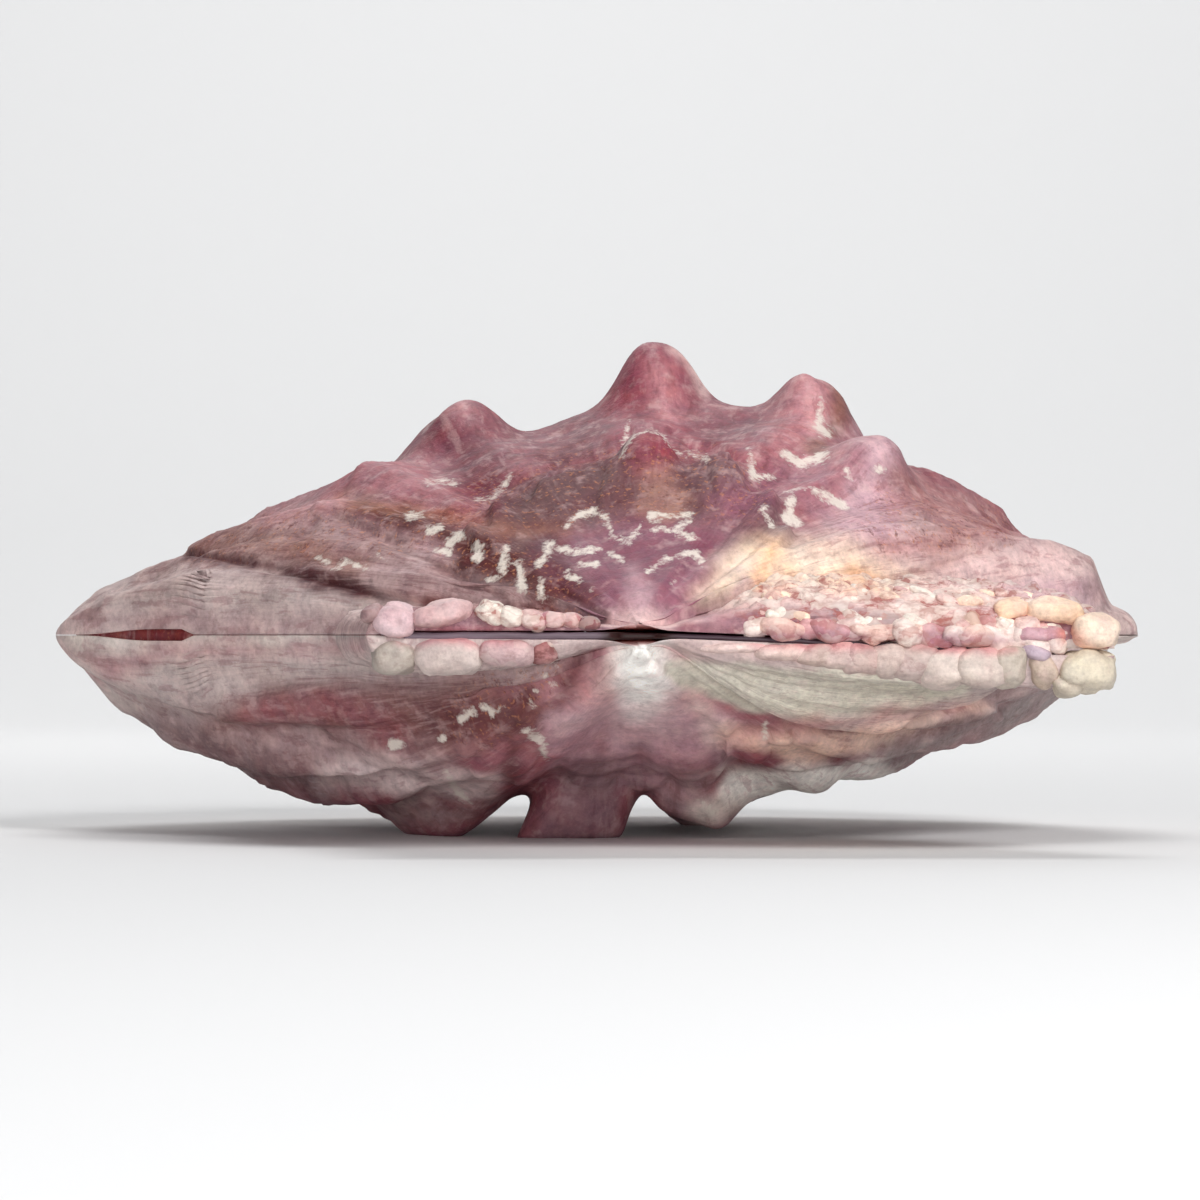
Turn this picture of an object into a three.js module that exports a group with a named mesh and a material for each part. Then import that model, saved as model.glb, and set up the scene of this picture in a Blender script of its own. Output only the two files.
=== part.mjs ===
// A large scallop shell with both valves closed, seen here as it lies on its lower valve.
// Millimetres, +Z up. It is shaped in the hinge's own frame: the origin is at the beaks,
// +X runs along the hinge to the front ear, +Y runs away from the hinge to the free margin.
// At the end the whole shell is set down so that its box stands on the origin.
import * as THREE from "three";

// Outline of the disc, seen from above
const DISC_MIDDLE = { x: -4.5, y: 60 };
const DISC_RADIUS = 62.5;
const SIDE_ANGLE = 52;
const SIDE_FOLD = [48.8, 51.6];

// Outline of the ears: how far they reach from the beak
const BACK_EAR = { hinge: 28.5, extra: 11.5, fade: [51, 82] };
const LEFT_FRONT_EAR = { start: 44, steps: [[5.8, 60, 90]] };
const RIGHT_FRONT_EAR = { start: 37, steps: [[8.5, 54, 68], [4.3, 66, 90]] };

// Ribs fan out from the beak. Numbers run from -4 at the back to 4 at the front.
const RIB_SPREAD = 2.73;
const RIB_FAN = 1.2;
const RIB_MIDDLE = 1;
const RIB_LIMIT = 58;

// Height of the bowl along a rib, by growth from 0 at the beak to 1 at the margin
const BOWL_PEAK = 0.55;
const BOWL_RISE = 1.15;
const FLANK_POWER = 8;
const JOIN_POWER = 3;
const LEDGE_LEAD = 0.07;
const LEDGE_BACK = 0.022;
const LEDGE_SWAY = 0.012;

// The wavy margin, where the ribs of one valve close on the furrows of the other
const MARGIN_WAVE = 2;
const WAVE_START = 0.75;
const WAVE_FADE = [28, 42];

// Gaps between the valves: half of each, from the plane where they close
const MARGIN_GAP = 0.15;
const WAVE_GAP = 0.2;
const EAR_GAP = 0.35;
const BACK_GAP = 0.1;
const PIT_GAP = 0.55;
const PIT_WIDTH = 2;
const PIT_DEPTH = [3.5, 6];
const SLIT_DEPTH = [8, 20];

// The front ears bend down a little, and so does the hinge line there
const DROOP = 1.8;
const DROOP_ALONG = [4, 46];
const DROOP_AWAY = 45;

const WALL = 1.9;
const INNER_SCALE = 0.945;
const INNER_FOLLOW = 0.95;
const INNER_EDGE = 46.5;
const HINGE_ROUND = 1.3;
const EAR_ROUND = 22;
const BUMP_POWER = 2.8;
const BUMP_BACK = 1.25;

// The shell lies on three worn flats of its lower valve, at this depth under the margin.
const GROUND = -22.9;

// Knobs: rib, distance from the beak, height, half width, half length, flare of the lip.
// Beads: place along the hinge, half width, height, depth from the hinge, bulge forwards.
const LEFT_VALVE = {
  side: 1,
  ribPhase: 0,
  firstRib: -4,
  crest: [12.6, 15.9, 18.0, 23.4, 27.0, 24.8, 19.6, 17.2, 15.6],
  blunt: [0.6, 0.9, 0.85, 0.75, 0.7, 0.7, 0.85, 1.0, 0.4],
  groove: 1.1,
  ledges: [[0.27, 1.0], [0.55, 0.8], [0.8, 0.8]],
  frontEar: LEFT_FRONT_EAR,
  earThickness: { back: 2.6, front: 3.4 },
  track: 0,
  knobs: [
    [0, 32, 2.4, 3.2, 5, 0],
    [-1, 31, 0.9, 3.6, 5, 0],
    [1, 31, 1.0, 3.6, 5, 0],
    [2, 30, 1.0, 3.6, 5, 0],
    [0.08, 66, 6.6, 6.0, 8.5, 0],
    [-1.18, 66.5, 3.4, 6.0, 8, 0],
    [1.03, 67.5, 5.4, 5.6, 8, 0],
    [2.02, 51, 2.6, 5.2, 7.5, 0],
    [-2, 60, 0.9, 5.5, 9, 0],
    [-3, 80, 1.0, 4.5, 8, 0],
    [3, 59, 0.9, 4, 9, 0],
    [0, 97, 4, 6.5, 8, 0],
    [-1, 96, 3, 6, 8, 0],
    [1, 95, 3.5, 6, 8, 0],
    [-2, 88, 1.6, 6, 8, 0],
    [2, 82, 2, 6, 8, 0],
  ],
  beads: [
    [-26, 2.6, 1.2, 6, 0.9],
    [-19.8, 3.3, 0.6, 6, 0.7],
    [-14.8, 1.5, 0.2, 4, 0.4],
    [-11.5, 1.4, 0.1, 4, 0.4],
    [-8, 1.4, 0.2, 4, 0.3],
    [15.5, 2.2, 0.8, 9, 0.5],
    [20.5, 2.4, 1.2, 9, 0.6],
    [25.5, 2.2, 0.9, 9, 0.5],
    [30, 2, 0.4, 8, 0.5],
    [34.5, 2, 0.3, 8, 0.5],
    [39, 2.1, 0.9, 7, 0.9],
    [43.5, 2.3, 1.2, 7, 1.0],
    [47.6, 2.2, -0.6, 6, 1.2],
  ],
};

const RIGHT_VALVE = {
  side: -1,
  ribPhase: 0.5,
  firstRib: -4.5,
  crest: [13.4, 17.8, 19.4, 21.6, 18.8, 19.6, 17.4, 14.6, 12.0, 9.0],
  blunt: [0.6, 0.6, 0.8, 0.75, 0.65, 0.65, 0.75, 0.8, 0.5, 0.5],
  groove: 3.4,
  ledges: [[0.25, 1.2], [0.42, 0.6], [0.62, 0.6], [0.8, 0.6]],
  frontEar: RIGHT_FRONT_EAR,
  earThickness: { back: 3.2, front: 3.6 },
  track: 5.5,
  knobs: [
    [-0.5, 27, 1.0, 3.2, 4, 0],
    [0.5, 27, 1.0, 3.2, 4, 0],
    [-0.46, 46.5, 7.6, 4.9, 6.5, 5],
    [0.5, 44, 3.6, 5, 6, 1],
    [-1.5, 58, 3.2, 6.5, 10, 0],
    [0.38, 89, 7.6, 5.6, 10.5, 0],
    [-0.5, 88, 1.6, 4.6, 8, 0],
  ],
  beads: [
    [-26.6, 1.9, 0.0, 6, 0.8],
    [-20.3, 3.3, 1.2, 6, 1.0],
    [-13.4, 3.0, 0.2, 5, 0.8],
    [26, 1.6, 0.2, 7, 0.4],
    [29.6, 1.8, 0.5, 7, 0.6],
    [33.8, 2, 0.6, 7, 0.7],
    [38.4, 2.3, 0.9, 7, 0.8],
    [43, 1.8, -0.6, 7, 0.2],
    [47.2, 2.6, 0.9, 7, 1.2],
  ],
};

// The ligament that ties the two hinge edges together
const LIGAMENT = { from: -22, to: 40, front: 0.9, back: 3.4, recess: 1.6, recessWidth: 3.2, stations: 32 };
const LIGAMENT_HALF = { back: 0.3, front: 0.2 };

// Mesh density
const COLUMNS_PER_RIB = 6;
const FIRST_COLUMN_RIB = -4.5;
const LAST_COLUMN_RIB = 4.17;
const EAR_COLUMNS = [90, 87.5, 84, 79.5, 74.5, 69.5, 64.5, 60, 56, 53];
const FOLD_COLUMNS = [51.6, 50.7, 49.8];
const STAGES = [[0, 0.27, 6], [0.295, 0.55, 7], [0.575, 0.8, 6], [0.83, 1, 5]];
const INNER_ROWS = 7;
const INNER_START = 0.06;

const toRadians = THREE.MathUtils.degToRad;
const toDegrees = THREE.MathUtils.radToDeg;
const clamp = THREE.MathUtils.clamp;

// Goes smoothly from 0 at low to 1 at high.
function ease(low, high, value) {
  const t = clamp((value - low) / (high - low), 0, 1);
  return t * t * (3 - 2 * t);
}

function ribAt(angle) {
  const turned = RIB_FAN * (clamp(angle, -RIB_LIMIT, RIB_LIMIT) - RIB_MIDDLE);
  return RIB_SPREAD * Math.tan(toRadians(turned));
}

function angleOfRib(rib) {
  return RIB_MIDDLE + toDegrees(Math.atan(rib / RIB_SPREAD)) / RIB_FAN;
}

// How far a straight line from the beak runs before it leaves the disc's circle.
function discReach(angle) {
  const turn = toRadians(angle);
  const along = DISC_MIDDLE.x * Math.sin(turn) + DISC_MIDDLE.y * Math.cos(turn);
  const offset = DISC_MIDDLE.x ** 2 + DISC_MIDDLE.y ** 2 - DISC_RADIUS ** 2;
  return along + Math.sqrt(along ** 2 - offset);
}

function earReach(angle, valve) {
  const size = Math.abs(angle);
  if (angle < 0) {
    return BACK_EAR.hinge + BACK_EAR.extra * (1 - ease(...BACK_EAR.fade, size));
  }
  const { start, steps } = valve.frontEar;
  return steps.reduce((sum, [more, low, high]) => sum + more * ease(low, high, size), start);
}

function reach(angle, valve) {
  const fold = ease(...SIDE_FOLD, Math.abs(angle));
  const disc = discReach(clamp(angle, -SIDE_ANGLE, SIDE_ANGLE));
  return disc * (1 - fold) + earReach(angle, valve) * fold;
}

// Reads a value given for each rib at any place between the ribs.
function betweenRibs(values, first, rib) {
  const place = clamp(rib - first, 0, values.length - 1.0001);
  const index = Math.floor(place);
  const mix = ease(0, 1, place - index);
  return values[index] * (1 - mix) + values[index + 1] * mix;
}

// The plane where the valves meet: level, with waves at the margin and the drooping front ears.
function closingHeight(x, y, angle, growth) {
  const fade = (1 - ease(...WAVE_FADE, Math.abs(angle))) * ease(WAVE_START, 1, growth);
  const wave = MARGIN_WAVE * Math.cos(2 * Math.PI * ribAt(angle)) * fade;
  const [bend, end] = DROOP_ALONG;
  return wave - DROOP * clamp((x - bend) / (end - bend), 0, 1) * (1 - clamp(y / DROOP_AWAY, 0, 1));
}

// Half of the gap between the valves: a slit along the ears, and a pit at the beaks.
function halfGap(x, y, angle, growth) {
  const size = Math.abs(angle);
  const ear = Math.max(ease(47, 53, size), 1 - ease(...SLIT_DEPTH, y));
  const wavy = (1 - ease(...WAVE_FADE, size)) * ease(WAVE_START, 1, growth);
  const pit = PIT_GAP * Math.exp(-((x / PIT_WIDTH) ** 2)) * (1 - ease(...PIT_DEPTH, y));
  const slit = EAR_GAP + (x < 0 ? BACK_GAP : 0);
  return MARGIN_GAP + WAVE_GAP * wavy + slit * ear + pit;
}

// Height of the valve's disc over the closing plane, with ribs and growth ledges.
function discHeight(angle, growth, valve) {
  const rib = ribAt(angle);
  const wave = Math.cos(2 * Math.PI * (rib - valve.ribPhase));
  const rise = (1 - (1 - Math.min(growth, BOWL_PEAK) / BOWL_PEAK) ** 2) ** BOWL_RISE;
  const past = Math.max(growth - BOWL_PEAK, 0) / (1 - BOWL_PEAK);
  const fall = Math.max(1 - past ** 2, 0) ** betweenRibs(valve.blunt, valve.firstRib, rib);
  const closing = Math.sqrt(Math.max(1 - growth ** 12, 0));
  const groove = valve.groove * ((1 - wave) / 2) * ease(0, 1, growth * 1.6) * closing;
  const crest = betweenRibs(valve.crest, valve.firstRib, rib) - groove;
  const ledges = valve.ledges.reduce((sum, [place, step]) => {
    const past = growth - place - LEDGE_SWAY * wave;
    const length = past < 0 ? LEDGE_LEAD : LEDGE_BACK;
    return sum + step * Math.exp(-((past / length) ** 2)) * (0.7 + 0.3 * wave);
  }, 0);
  const flank = Math.sqrt(1 - (Math.min(Math.abs(angle), SIDE_ANGLE) / SIDE_ANGLE) ** FLANK_POWER);
  return Math.max((crest * rise * fall + ledges * closing) * flank, 0);
}

function beadShape(x, y, angle, bead) {
  const [place, width, , depth] = bead;
  const across = Math.exp(-(Math.abs((x - place) / width) ** 4));
  return across * (1 - ease(0.6 * depth, depth, y)) * ease(54, 62, Math.abs(angle));
}

// Height of the ears, which end in beads at the hinge edge. The lower front ear has the
// smooth track of the byssal notch, which runs from the beak to the notch.
function earHeight(x, y, angle, distance, valve) {
  const size = Math.abs(angle);
  const { back, front } = valve.earThickness;
  const thick = (angle < 0 ? back : front) * (1 - Math.exp(-distance / 7));
  const track = valve.track * (1 - ease(52, 76, angle)) * ease(38, 52, angle) * ease(2, 26, distance);
  const edge = Math.sqrt(Math.max(1 - (distance / earReach(angle, valve)) ** EAR_ROUND, 0));
  const beads = valve.beads.reduce((sum, bead) => sum + bead[2] * beadShape(x, y, angle, bead), 0);
  const front_wall = size > 70 ? Math.sqrt(1 - (1 - clamp(y / HINGE_ROUND, 0, 1)) ** 2) : 1;
  return Math.max((thick * ease(40, 50, size) + track + beads) * edge * front_wall, 0);
}

// A knob's height and sideways flare at a point: a round bump, steeper on its far side.
function knobShape(x, y, knob) {
  const [rib, distance, height, width, length, flare] = knob;
  const turn = toRadians(angleOfRib(rib));
  const dx = x - distance * Math.sin(turn);
  const dy = y - distance * Math.cos(turn);
  const along = dx * Math.sin(turn) + dy * Math.cos(turn);
  const across = dx * Math.cos(turn) - dy * Math.sin(turn);
  const stretched = along > 0 ? along * BUMP_BACK : along;
  const bump = Math.exp(-(Math.hypot(across / width, stretched / length) ** BUMP_POWER));
  const lip = flare * bump ** 1.5 * Math.tanh((across / width) * 2.5) * (across < 0 ? 1 : 0.2);
  return { height: height * bump, lip };
}

// A point of a valve's outer surface, by its angle from the hinge's middle line and its growth.
function outerPoint(angle, growth, valve) {
  const distance = growth * reach(angle, valve);
  const turn = toRadians(angle);
  let x = distance * Math.sin(turn);
  let y = distance * Math.cos(turn);
  const disc = discHeight(angle, growth, valve);
  const ear = earHeight(x, y, angle, distance, valve);
  let height = (disc ** JOIN_POWER + ear ** JOIN_POWER) ** (1 / JOIN_POWER);
  let lip = 0;
  for (const knob of valve.knobs) {
    const shape = knobShape(x, y, knob);
    height += shape.height;
    lip += shape.lip;
  }
  if (growth === 1) height = 0;
  const bulge = valve.beads.reduce((sum, bead) => sum + bead[4] * beadShape(x, y, angle, bead), 0);
  const closing = closingHeight(x, y, angle, growth);
  const gap = halfGap(x, y, angle, growth);
  y -= bulge * Math.exp(-((y / 2.2) ** 2)) * clamp(height / 2.5, 0, 1);
  x += lip;
  const z = Math.max(closing + valve.side * (height + gap), GROUND);
  return [x, y, z];
}

// A point of the hollow inside: the disc's surface drawn in, one wall thickness deep.
function innerPoint(angle, growth, valve, onEdge) {
  const distance = growth * discReach(angle);
  const turn = toRadians(angle);
  const rawX = distance * Math.sin(turn);
  const rawY = distance * Math.cos(turn);
  const x = DISC_MIDDLE.x + INNER_SCALE * (rawX - DISC_MIDDLE.x);
  const y = DISC_MIDDLE.y + INNER_SCALE * (rawY - DISC_MIDDLE.y);
  const height = onEdge ? 0 : Math.max(INNER_FOLLOW * discHeight(angle, growth, valve) - WALL, 0.3);
  const closing = closingHeight(x, y, angle, growth);
  return [x, y, closing + valve.side * (height + halfGap(x, y, angle, growth))];
}

// Angles of the mesh columns, from the back ear's hinge edge to the front ear's.
function columnAngles() {
  const count = Math.round((LAST_COLUMN_RIB - FIRST_COLUMN_RIB) * COLUMNS_PER_RIB);
  const disc = Array.from({ length: count + 1 }, (_, i) => angleOfRib(FIRST_COLUMN_RIB + i / COLUMNS_PER_RIB));
  const outside = [...EAR_COLUMNS, ...FOLD_COLUMNS];
  const front = [...outside].reverse();
  return [...outside.map((a) => -a), ...disc, ...front];
}

// Growth values of the mesh rows: each stage is divided evenly, and the last closes gently.
function rowGrowths() {
  return STAGES.flatMap(([start, end, count]) =>
    Array.from({ length: count }, (_, i) => {
      const t = start === 0 ? (i + 1) / count : i / (count - 1);
      return end === 1 ? 1 - (1 - start) * (1 - t) ** 1.4 : start + (end - start) * t;
    }),
  );
}

// Collects points and triangles of one closed valve.
function buildValve(valve) {
  const positions = [];
  const triangles = [];
  const addPoint = (point) => positions.push(...point) / 3 - 1;
  const addTriangle = (a, b, c) => {
    if (valve.side > 0) triangles.push(a, b, c);
    else triangles.push(a, c, b);
  };
  const addQuad = (a, b, c, d) => {
    addTriangle(a, b, c);
    addTriangle(a, c, d);
  };

  // Outer surface, all columns, fanned out from the beak
  const angles = columnAngles();
  const growths = rowGrowths();
  const beak = addPoint(outerPoint(0, 0, valve));
  const outer = angles.map((angle) => growths.map((growth) => addPoint(outerPoint(angle, growth, valve))));
  for (let j = 0; j + 1 < angles.length; j += 1) {
    addTriangle(beak, outer[j + 1][0], outer[j][0]);
    for (let i = 0; i + 1 < growths.length; i += 1) {
      addQuad(outer[j][i], outer[j + 1][i], outer[j + 1][i + 1], outer[j][i + 1]);
    }
  }

  // Hollow, only under the disc
  const isInner = angles.map((angle) => Math.abs(angle) <= INNER_EDGE);
  const first = isInner.indexOf(true);
  const last = isInner.lastIndexOf(true);
  const innerGrowths = Array.from({ length: INNER_ROWS }, (_, i) => {
    const t = (i + 1) / INNER_ROWS;
    return INNER_START + (1 - INNER_START) * (1 - (1 - t) ** 1.4);
  });
  const innerBeak = addPoint(innerPoint(0, INNER_START, valve, true));
  const inner = [];
  for (let j = first; j <= last; j += 1) {
    inner.push(
      innerGrowths.map((growth, i) => {
        const onEdge = j === first || j === last || i === INNER_ROWS - 1;
        return addPoint(innerPoint(angles[j], growth, valve, onEdge));
      }),
    );
  }
  for (let j = 0; j + 1 < inner.length; j += 1) {
    addTriangle(innerBeak, inner[j][0], inner[j + 1][0]);
    for (let i = 0; i + 1 < INNER_ROWS; i += 1) {
      addQuad(inner[j][i], inner[j][i + 1], inner[j + 1][i + 1], inner[j + 1][i]);
    }
  }

  // Rim around the margin
  const tip = growths.length - 1;
  for (let j = first; j < last; j += 1) {
    const k = j - first;
    addQuad(outer[j][tip], outer[j + 1][tip], inner[k + 1][INNER_ROWS - 1], inner[k][INNER_ROWS - 1]);
  }

  // Undersides of the two ears, each bounded by its margin, its hinge edge and the hollow
  const fillEar = (loop, turned) => {
    const contour = loop.map((index) => new THREE.Vector2(positions[3 * index], positions[3 * index + 1]));
    for (const [a, b, c] of THREE.ShapeUtils.triangulateShape(contour, [])) {
      if (turned) addTriangle(loop[a], loop[b], loop[c]);
      else addTriangle(loop[a], loop[c], loop[b]);
    }
  };
  const backLoop = [
    beak,
    ...outer[0],
    ...outer.slice(1, first + 1).map((column) => column[tip]),
    ...[...inner[0]].reverse(),
    innerBeak,
  ];
  const frontLoop = [
    beak,
    ...outer[angles.length - 1],
    ...outer.slice(last, angles.length - 1).reverse().map((column) => column[tip]),
    ...[...inner[inner.length - 1]].reverse(),
    innerBeak,
  ];
  fillEar(backLoop.reverse(), false);
  fillEar(frontLoop, false);

  const geometry = new THREE.BufferGeometry();
  geometry.setAttribute("position", new THREE.Float32BufferAttribute(positions, 3));
  geometry.setIndex(triangles);
  geometry.computeVertexNormals();
  return geometry;
}

// A flat strip with a notch in front of the pit, bent with the hinge line.
function buildLigament() {
  const { from, to, front, back, recess, recessWidth, stations } = LIGAMENT;
  const positions = [];
  const triangles = [];
  for (let k = 0; k <= stations; k += 1) {
    const x = from + ((to - from) * k) / stations;
    const near = front + recess * (1 - ease(recessWidth - 1, recessWidth + 1, Math.abs(x)));
    const mix = ease(-4, 4, x);
    const half = LIGAMENT_HALF.back * (1 - mix) + LIGAMENT_HALF.front * mix;
    const middle = closingHeight(x, near, 90, 0);
    positions.push(x, near, middle - half, x, back, middle - half);
    positions.push(x, back, middle + half, x, near, middle + half);
  }
  for (let k = 0; k < stations; k += 1) {
    for (let side = 0; side < 4; side += 1) {
      const a = 4 * k + side;
      const b = 4 * k + ((side + 1) % 4);
      triangles.push(a, b + 4, a + 4, a, b, b + 4);
    }
  }
  const end = 4 * stations;
  triangles.push(0, 2, 1, 0, 3, 2, end, end + 1, end + 2, end, end + 2, end + 3);
  const geometry = new THREE.BufferGeometry();
  geometry.setAttribute("position", new THREE.Float32BufferAttribute(positions, 3));
  geometry.setIndex(triangles);
  geometry.computeVertexNormals();
  return geometry;
}

function makePiece(name, geometry, color, roughness) {
  const material = new THREE.MeshStandardMaterial({ color, roughness, metalness: 0 });
  const piece = new THREE.Mesh(geometry, material);
  piece.name = name;
  return piece;
}

const shell = new THREE.Group();
shell.add(makePiece("left_valve", buildValve(LEFT_VALVE), 0xa8717c, 0.55));
shell.add(makePiece("right_valve", buildValve(RIGHT_VALVE), 0xb8979a, 0.55));
shell.add(makePiece("hinge_ligament", buildLigament(), 0x5a4a56, 0.7));

const box = new THREE.Box3().setFromObject(shell);
const middle = box.getCenter(new THREE.Vector3());
shell.position.set(-middle.x, -middle.y, -box.min.z);

export default shell;
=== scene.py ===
"""A large knobbly scallop shell with both valves closed, seen from its hinge.

Shapes are worked out in millimetres in the hinge's own frame: the beaks are at the origin,
x runs along the hinge to the front ear, y away from the hinge and z up from where the valves
close. Every point of a valve is given by two numbers: its angle from the hinge's middle line,
and its growth, from 0 at the beak to 1 at the margin.
"""
import math

import bpy
import numpy as np
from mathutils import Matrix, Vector


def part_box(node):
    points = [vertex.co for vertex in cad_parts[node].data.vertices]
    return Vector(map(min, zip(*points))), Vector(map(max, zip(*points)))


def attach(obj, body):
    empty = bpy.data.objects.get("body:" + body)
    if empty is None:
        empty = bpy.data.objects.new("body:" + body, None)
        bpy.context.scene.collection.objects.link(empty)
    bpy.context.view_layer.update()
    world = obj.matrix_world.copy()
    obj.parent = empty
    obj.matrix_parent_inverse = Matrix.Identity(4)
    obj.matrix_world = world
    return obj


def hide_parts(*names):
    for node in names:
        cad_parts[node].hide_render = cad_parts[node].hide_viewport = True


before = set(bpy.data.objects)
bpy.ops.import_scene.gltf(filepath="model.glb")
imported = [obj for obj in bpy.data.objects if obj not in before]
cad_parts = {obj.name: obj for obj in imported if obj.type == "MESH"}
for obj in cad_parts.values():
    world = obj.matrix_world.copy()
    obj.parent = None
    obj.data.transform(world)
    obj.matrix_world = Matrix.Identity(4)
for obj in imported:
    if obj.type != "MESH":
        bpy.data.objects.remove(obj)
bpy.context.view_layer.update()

MM = 0.001

# Outline of the disc and the ears, seen from above
DISC_MIDDLE = (-4.5, 60.0)
DISC_RADIUS = 62.5
SIDE_ANGLE = 52.0
SIDE_FOLD = (48.8, 51.6)
BACK_EAR = (28.5, 11.5, (51, 82))
LEFT_FRONT_EAR = (44.0, ((5.8, 60, 90),))
RIGHT_FRONT_EAR = (37.0, ((8.5, 54, 68), (4.3, 66, 90)))

# The fan of ribs, numbered from -4 at the back to 4 at the front
RIB_SPREAD = 2.73
RIB_FAN = 1.2
RIB_MIDDLE = 1.0
RIB_LIMIT = 58.0
RIB_LAYER_LIMIT = 50
RIB_LAYER_SLOPE = 0.35

# The bowl along a rib
BOWL_PEAK = 0.55
BOWL_RISE = 1.15
FLANK_POWER = 8
JOIN_POWER = 3
BACK_GROOVE_START = (0.62, 0.82)
LEDGE_LEAD = 0.07
LEDGE_BACK = 0.011
LEDGE_WAVE = 0.012
LEDGE_FADE = (43, 48)
UMBO = (1.1, 6.0, 4.5)
UMBO_FADE = (20, 44)
BRIM = (0.55, 0.895, 0.945)
BRIM_ANGLES = (36, 42)

# Where the valves meet
MARGIN_WAVE = 2.0
WAVE_START = 0.75
WAVE_FADE = (28, 42)
DROOP = 1.8
DROOP_ALONG = (4, 46)
DROOP_AWAY = 45.0
MARGIN_GAP = 0.04
EAR_GAP = 0.34
BACK_GAP = 0.10
BACK_GAP_END = (-3, 3)
PIT_GAP = 0.7
PIT_WIDTH = 2.2
CORNER = (-27.5, -24.0)
SIDE_GAP = 0.62
SIDE_GAP_ALONG = ((41.4, 41.9), (47, 55))
SIDE_GAP_ANGLES = (46, 50)
PIT_DEPTH = (3.5, 6.0)
SLIT_DEPTH = (8, 20)
SLIT_ANGLES = (51.8, 56)

# The hollow inside, and the ears
WALL = 1.9
INNER_SCALE = 0.945
INNER_FOLLOW = 0.95
INNER_START = 0.06
INNER_EDGE = 46.5
INNER_STEP = 4
INNER_ROWS = 17
HINGE_ROUND = 1.3
EAR_SLOPE = (0.3, 8.0)
EAR_SLOPE_ANGLES = (56, 62)
EAR_SLOPE_START = (8, 16)
EAR_ANGLES = (40, 50)
EAR_POWER = 1.6
HINGE_WALL_ANGLE = 70
TRACK_ANGLES = ((38, 52), (52, 76))
TRACK_START = (2, 26)
EAR_THICKENS = 10.0
EAR_ROUND = 22
BUMP_POWER = 3.2
BUMP_BACK = 1.25
GROUND = -22.9

# Knobs: rib, distance from the beak, height, half width, half length, flare of the lip
LEFT_VALVE = dict(
    side=1,
    phase=0.0,
    first=-4,
    crest=(12.6, 15.2, 18.1, 22.7, 26.4, 24.6, 19.6, 15.2, 16.6),
    blunt=(0.6, 0.9, 0.85, 0.75, 0.7, 0.7, 0.85, 1.0, 0.37),
    groove=1.1,
    groove_start=(0.12, 0.42),
    back_groove=2.2,
    ledges=((0.27, 1.7), (0.55, 0.8), (0.8, 0.8)),
    front_ear=LEFT_FRONT_EAR,
    thickness=(2.6, 3.4),
    track=0.0,
    knobs=(
        (0.1, 32, 2.2, 3.3, 5.0, 0),
        (-0.5, 31, 0.7, 3.6, 5, 0),
        (1, 30.5, 0.7, 3.6, 5, 0),
        (0.08, 66, 7.2, 5.2, 7.4, 0),
        (-1.2, 66.5, 4.1, 6.3, 7.4, 0),
        (-0.45, 66, 0.8, 5, 8, 0),
        (1.03, 67.5, 5.4, 5.0, 7.2, 0),
        (2.02, 51, 2.8, 4.8, 6.8, 0),
        (-2, 60, 0.9, 5.5, 9, 0),
        (0.53, 66, 2.0, 4.6, 9, 0),
        (0, 97, 4, 6.5, 8, 0),
        (-1, 96, 3, 6, 8, 0),
        (1, 95, 3.5, 6, 8, 0),
        (-2, 88, 0.6, 6, 8, 0),
        (2, 82, 0.4, 6, 8, 0),
    ),
)

RIGHT_VALVE = dict(
    side=-1,
    phase=0.5,
    first=-4.5,
    crest=(13.4, 17.8, 19.5, 21.6, 18.8, 19.6, 16.5, 13.7, 10.6, 8.2),
    blunt=(0.6, 0.6, 0.8, 0.75, 0.65, 0.65, 0.75, 0.8, 0.95, 1.1),
    groove=3.4,
    groove_start=(0.2, 0.62),
    back_groove=0.4,
    ledges=((0.27, 0.9), (0.45, 0.2), (0.64, 0.3), (0.82, 0.4)),
    front_ear=RIGHT_FRONT_EAR,
    thickness=(3.2, 3.6),
    track=5.5,
    knobs=(
        (-0.5, 27, 1.0, 3.2, 4, 0),
        (0.5, 27, 1.0, 3.2, 4, 0),
        (-0.46, 46.5, 7.6, 4.9, 6.5, 7),
        (0.44, 44, 3.6, 5, 6, 1),
        (0, 45, 1.0, 3.0, 7, 0),
        (1.4, 45, 2.0, 5.5, 9, 0),
        (-1.56, 58, 2.3, 6.8, 10, 0),
        (-1.05, 51, 0.7, 4.5, 8, 0),
        (0.86, 47, 2.2, 4, 7, 0),
        (0.2, 89, 7.6, 6.0, 10.5, 0),
        (-0.5, 88, 1.6, 4.6, 8, 0),
    ),
)

# The ligament, as in the frame: its own box tells where the beaks are
LIGAMENT_FROM = -22.0
LIGAMENT_FRONT = 0.9
low_corner, high_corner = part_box("hinge_ligament")
BEAK = np.array([low_corner[0] / MM - LIGAMENT_FROM, low_corner[1] / MM - LIGAMENT_FRONT, -GROUND])


def ease(low, high, value):
    """Goes smoothly from 0 at low to 1 at high."""
    t = np.clip((value - low) / (high - low), 0, 1)
    return t * t * (3 - 2 * t)


def rib_at(angle):
    """Rib number at an angle: a tangent, because the ribs crowd towards the sides."""
    turned = RIB_FAN * (np.clip(angle, -RIB_LIMIT, RIB_LIMIT) - RIB_MIDDLE)
    return RIB_SPREAD * np.tan(np.radians(turned))


def angle_of_rib(rib):
    """The angle of a rib, the other way round from rib_at."""
    return RIB_MIDDLE + np.degrees(np.arctan(np.asarray(rib) / RIB_SPREAD)) / RIB_FAN


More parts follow.
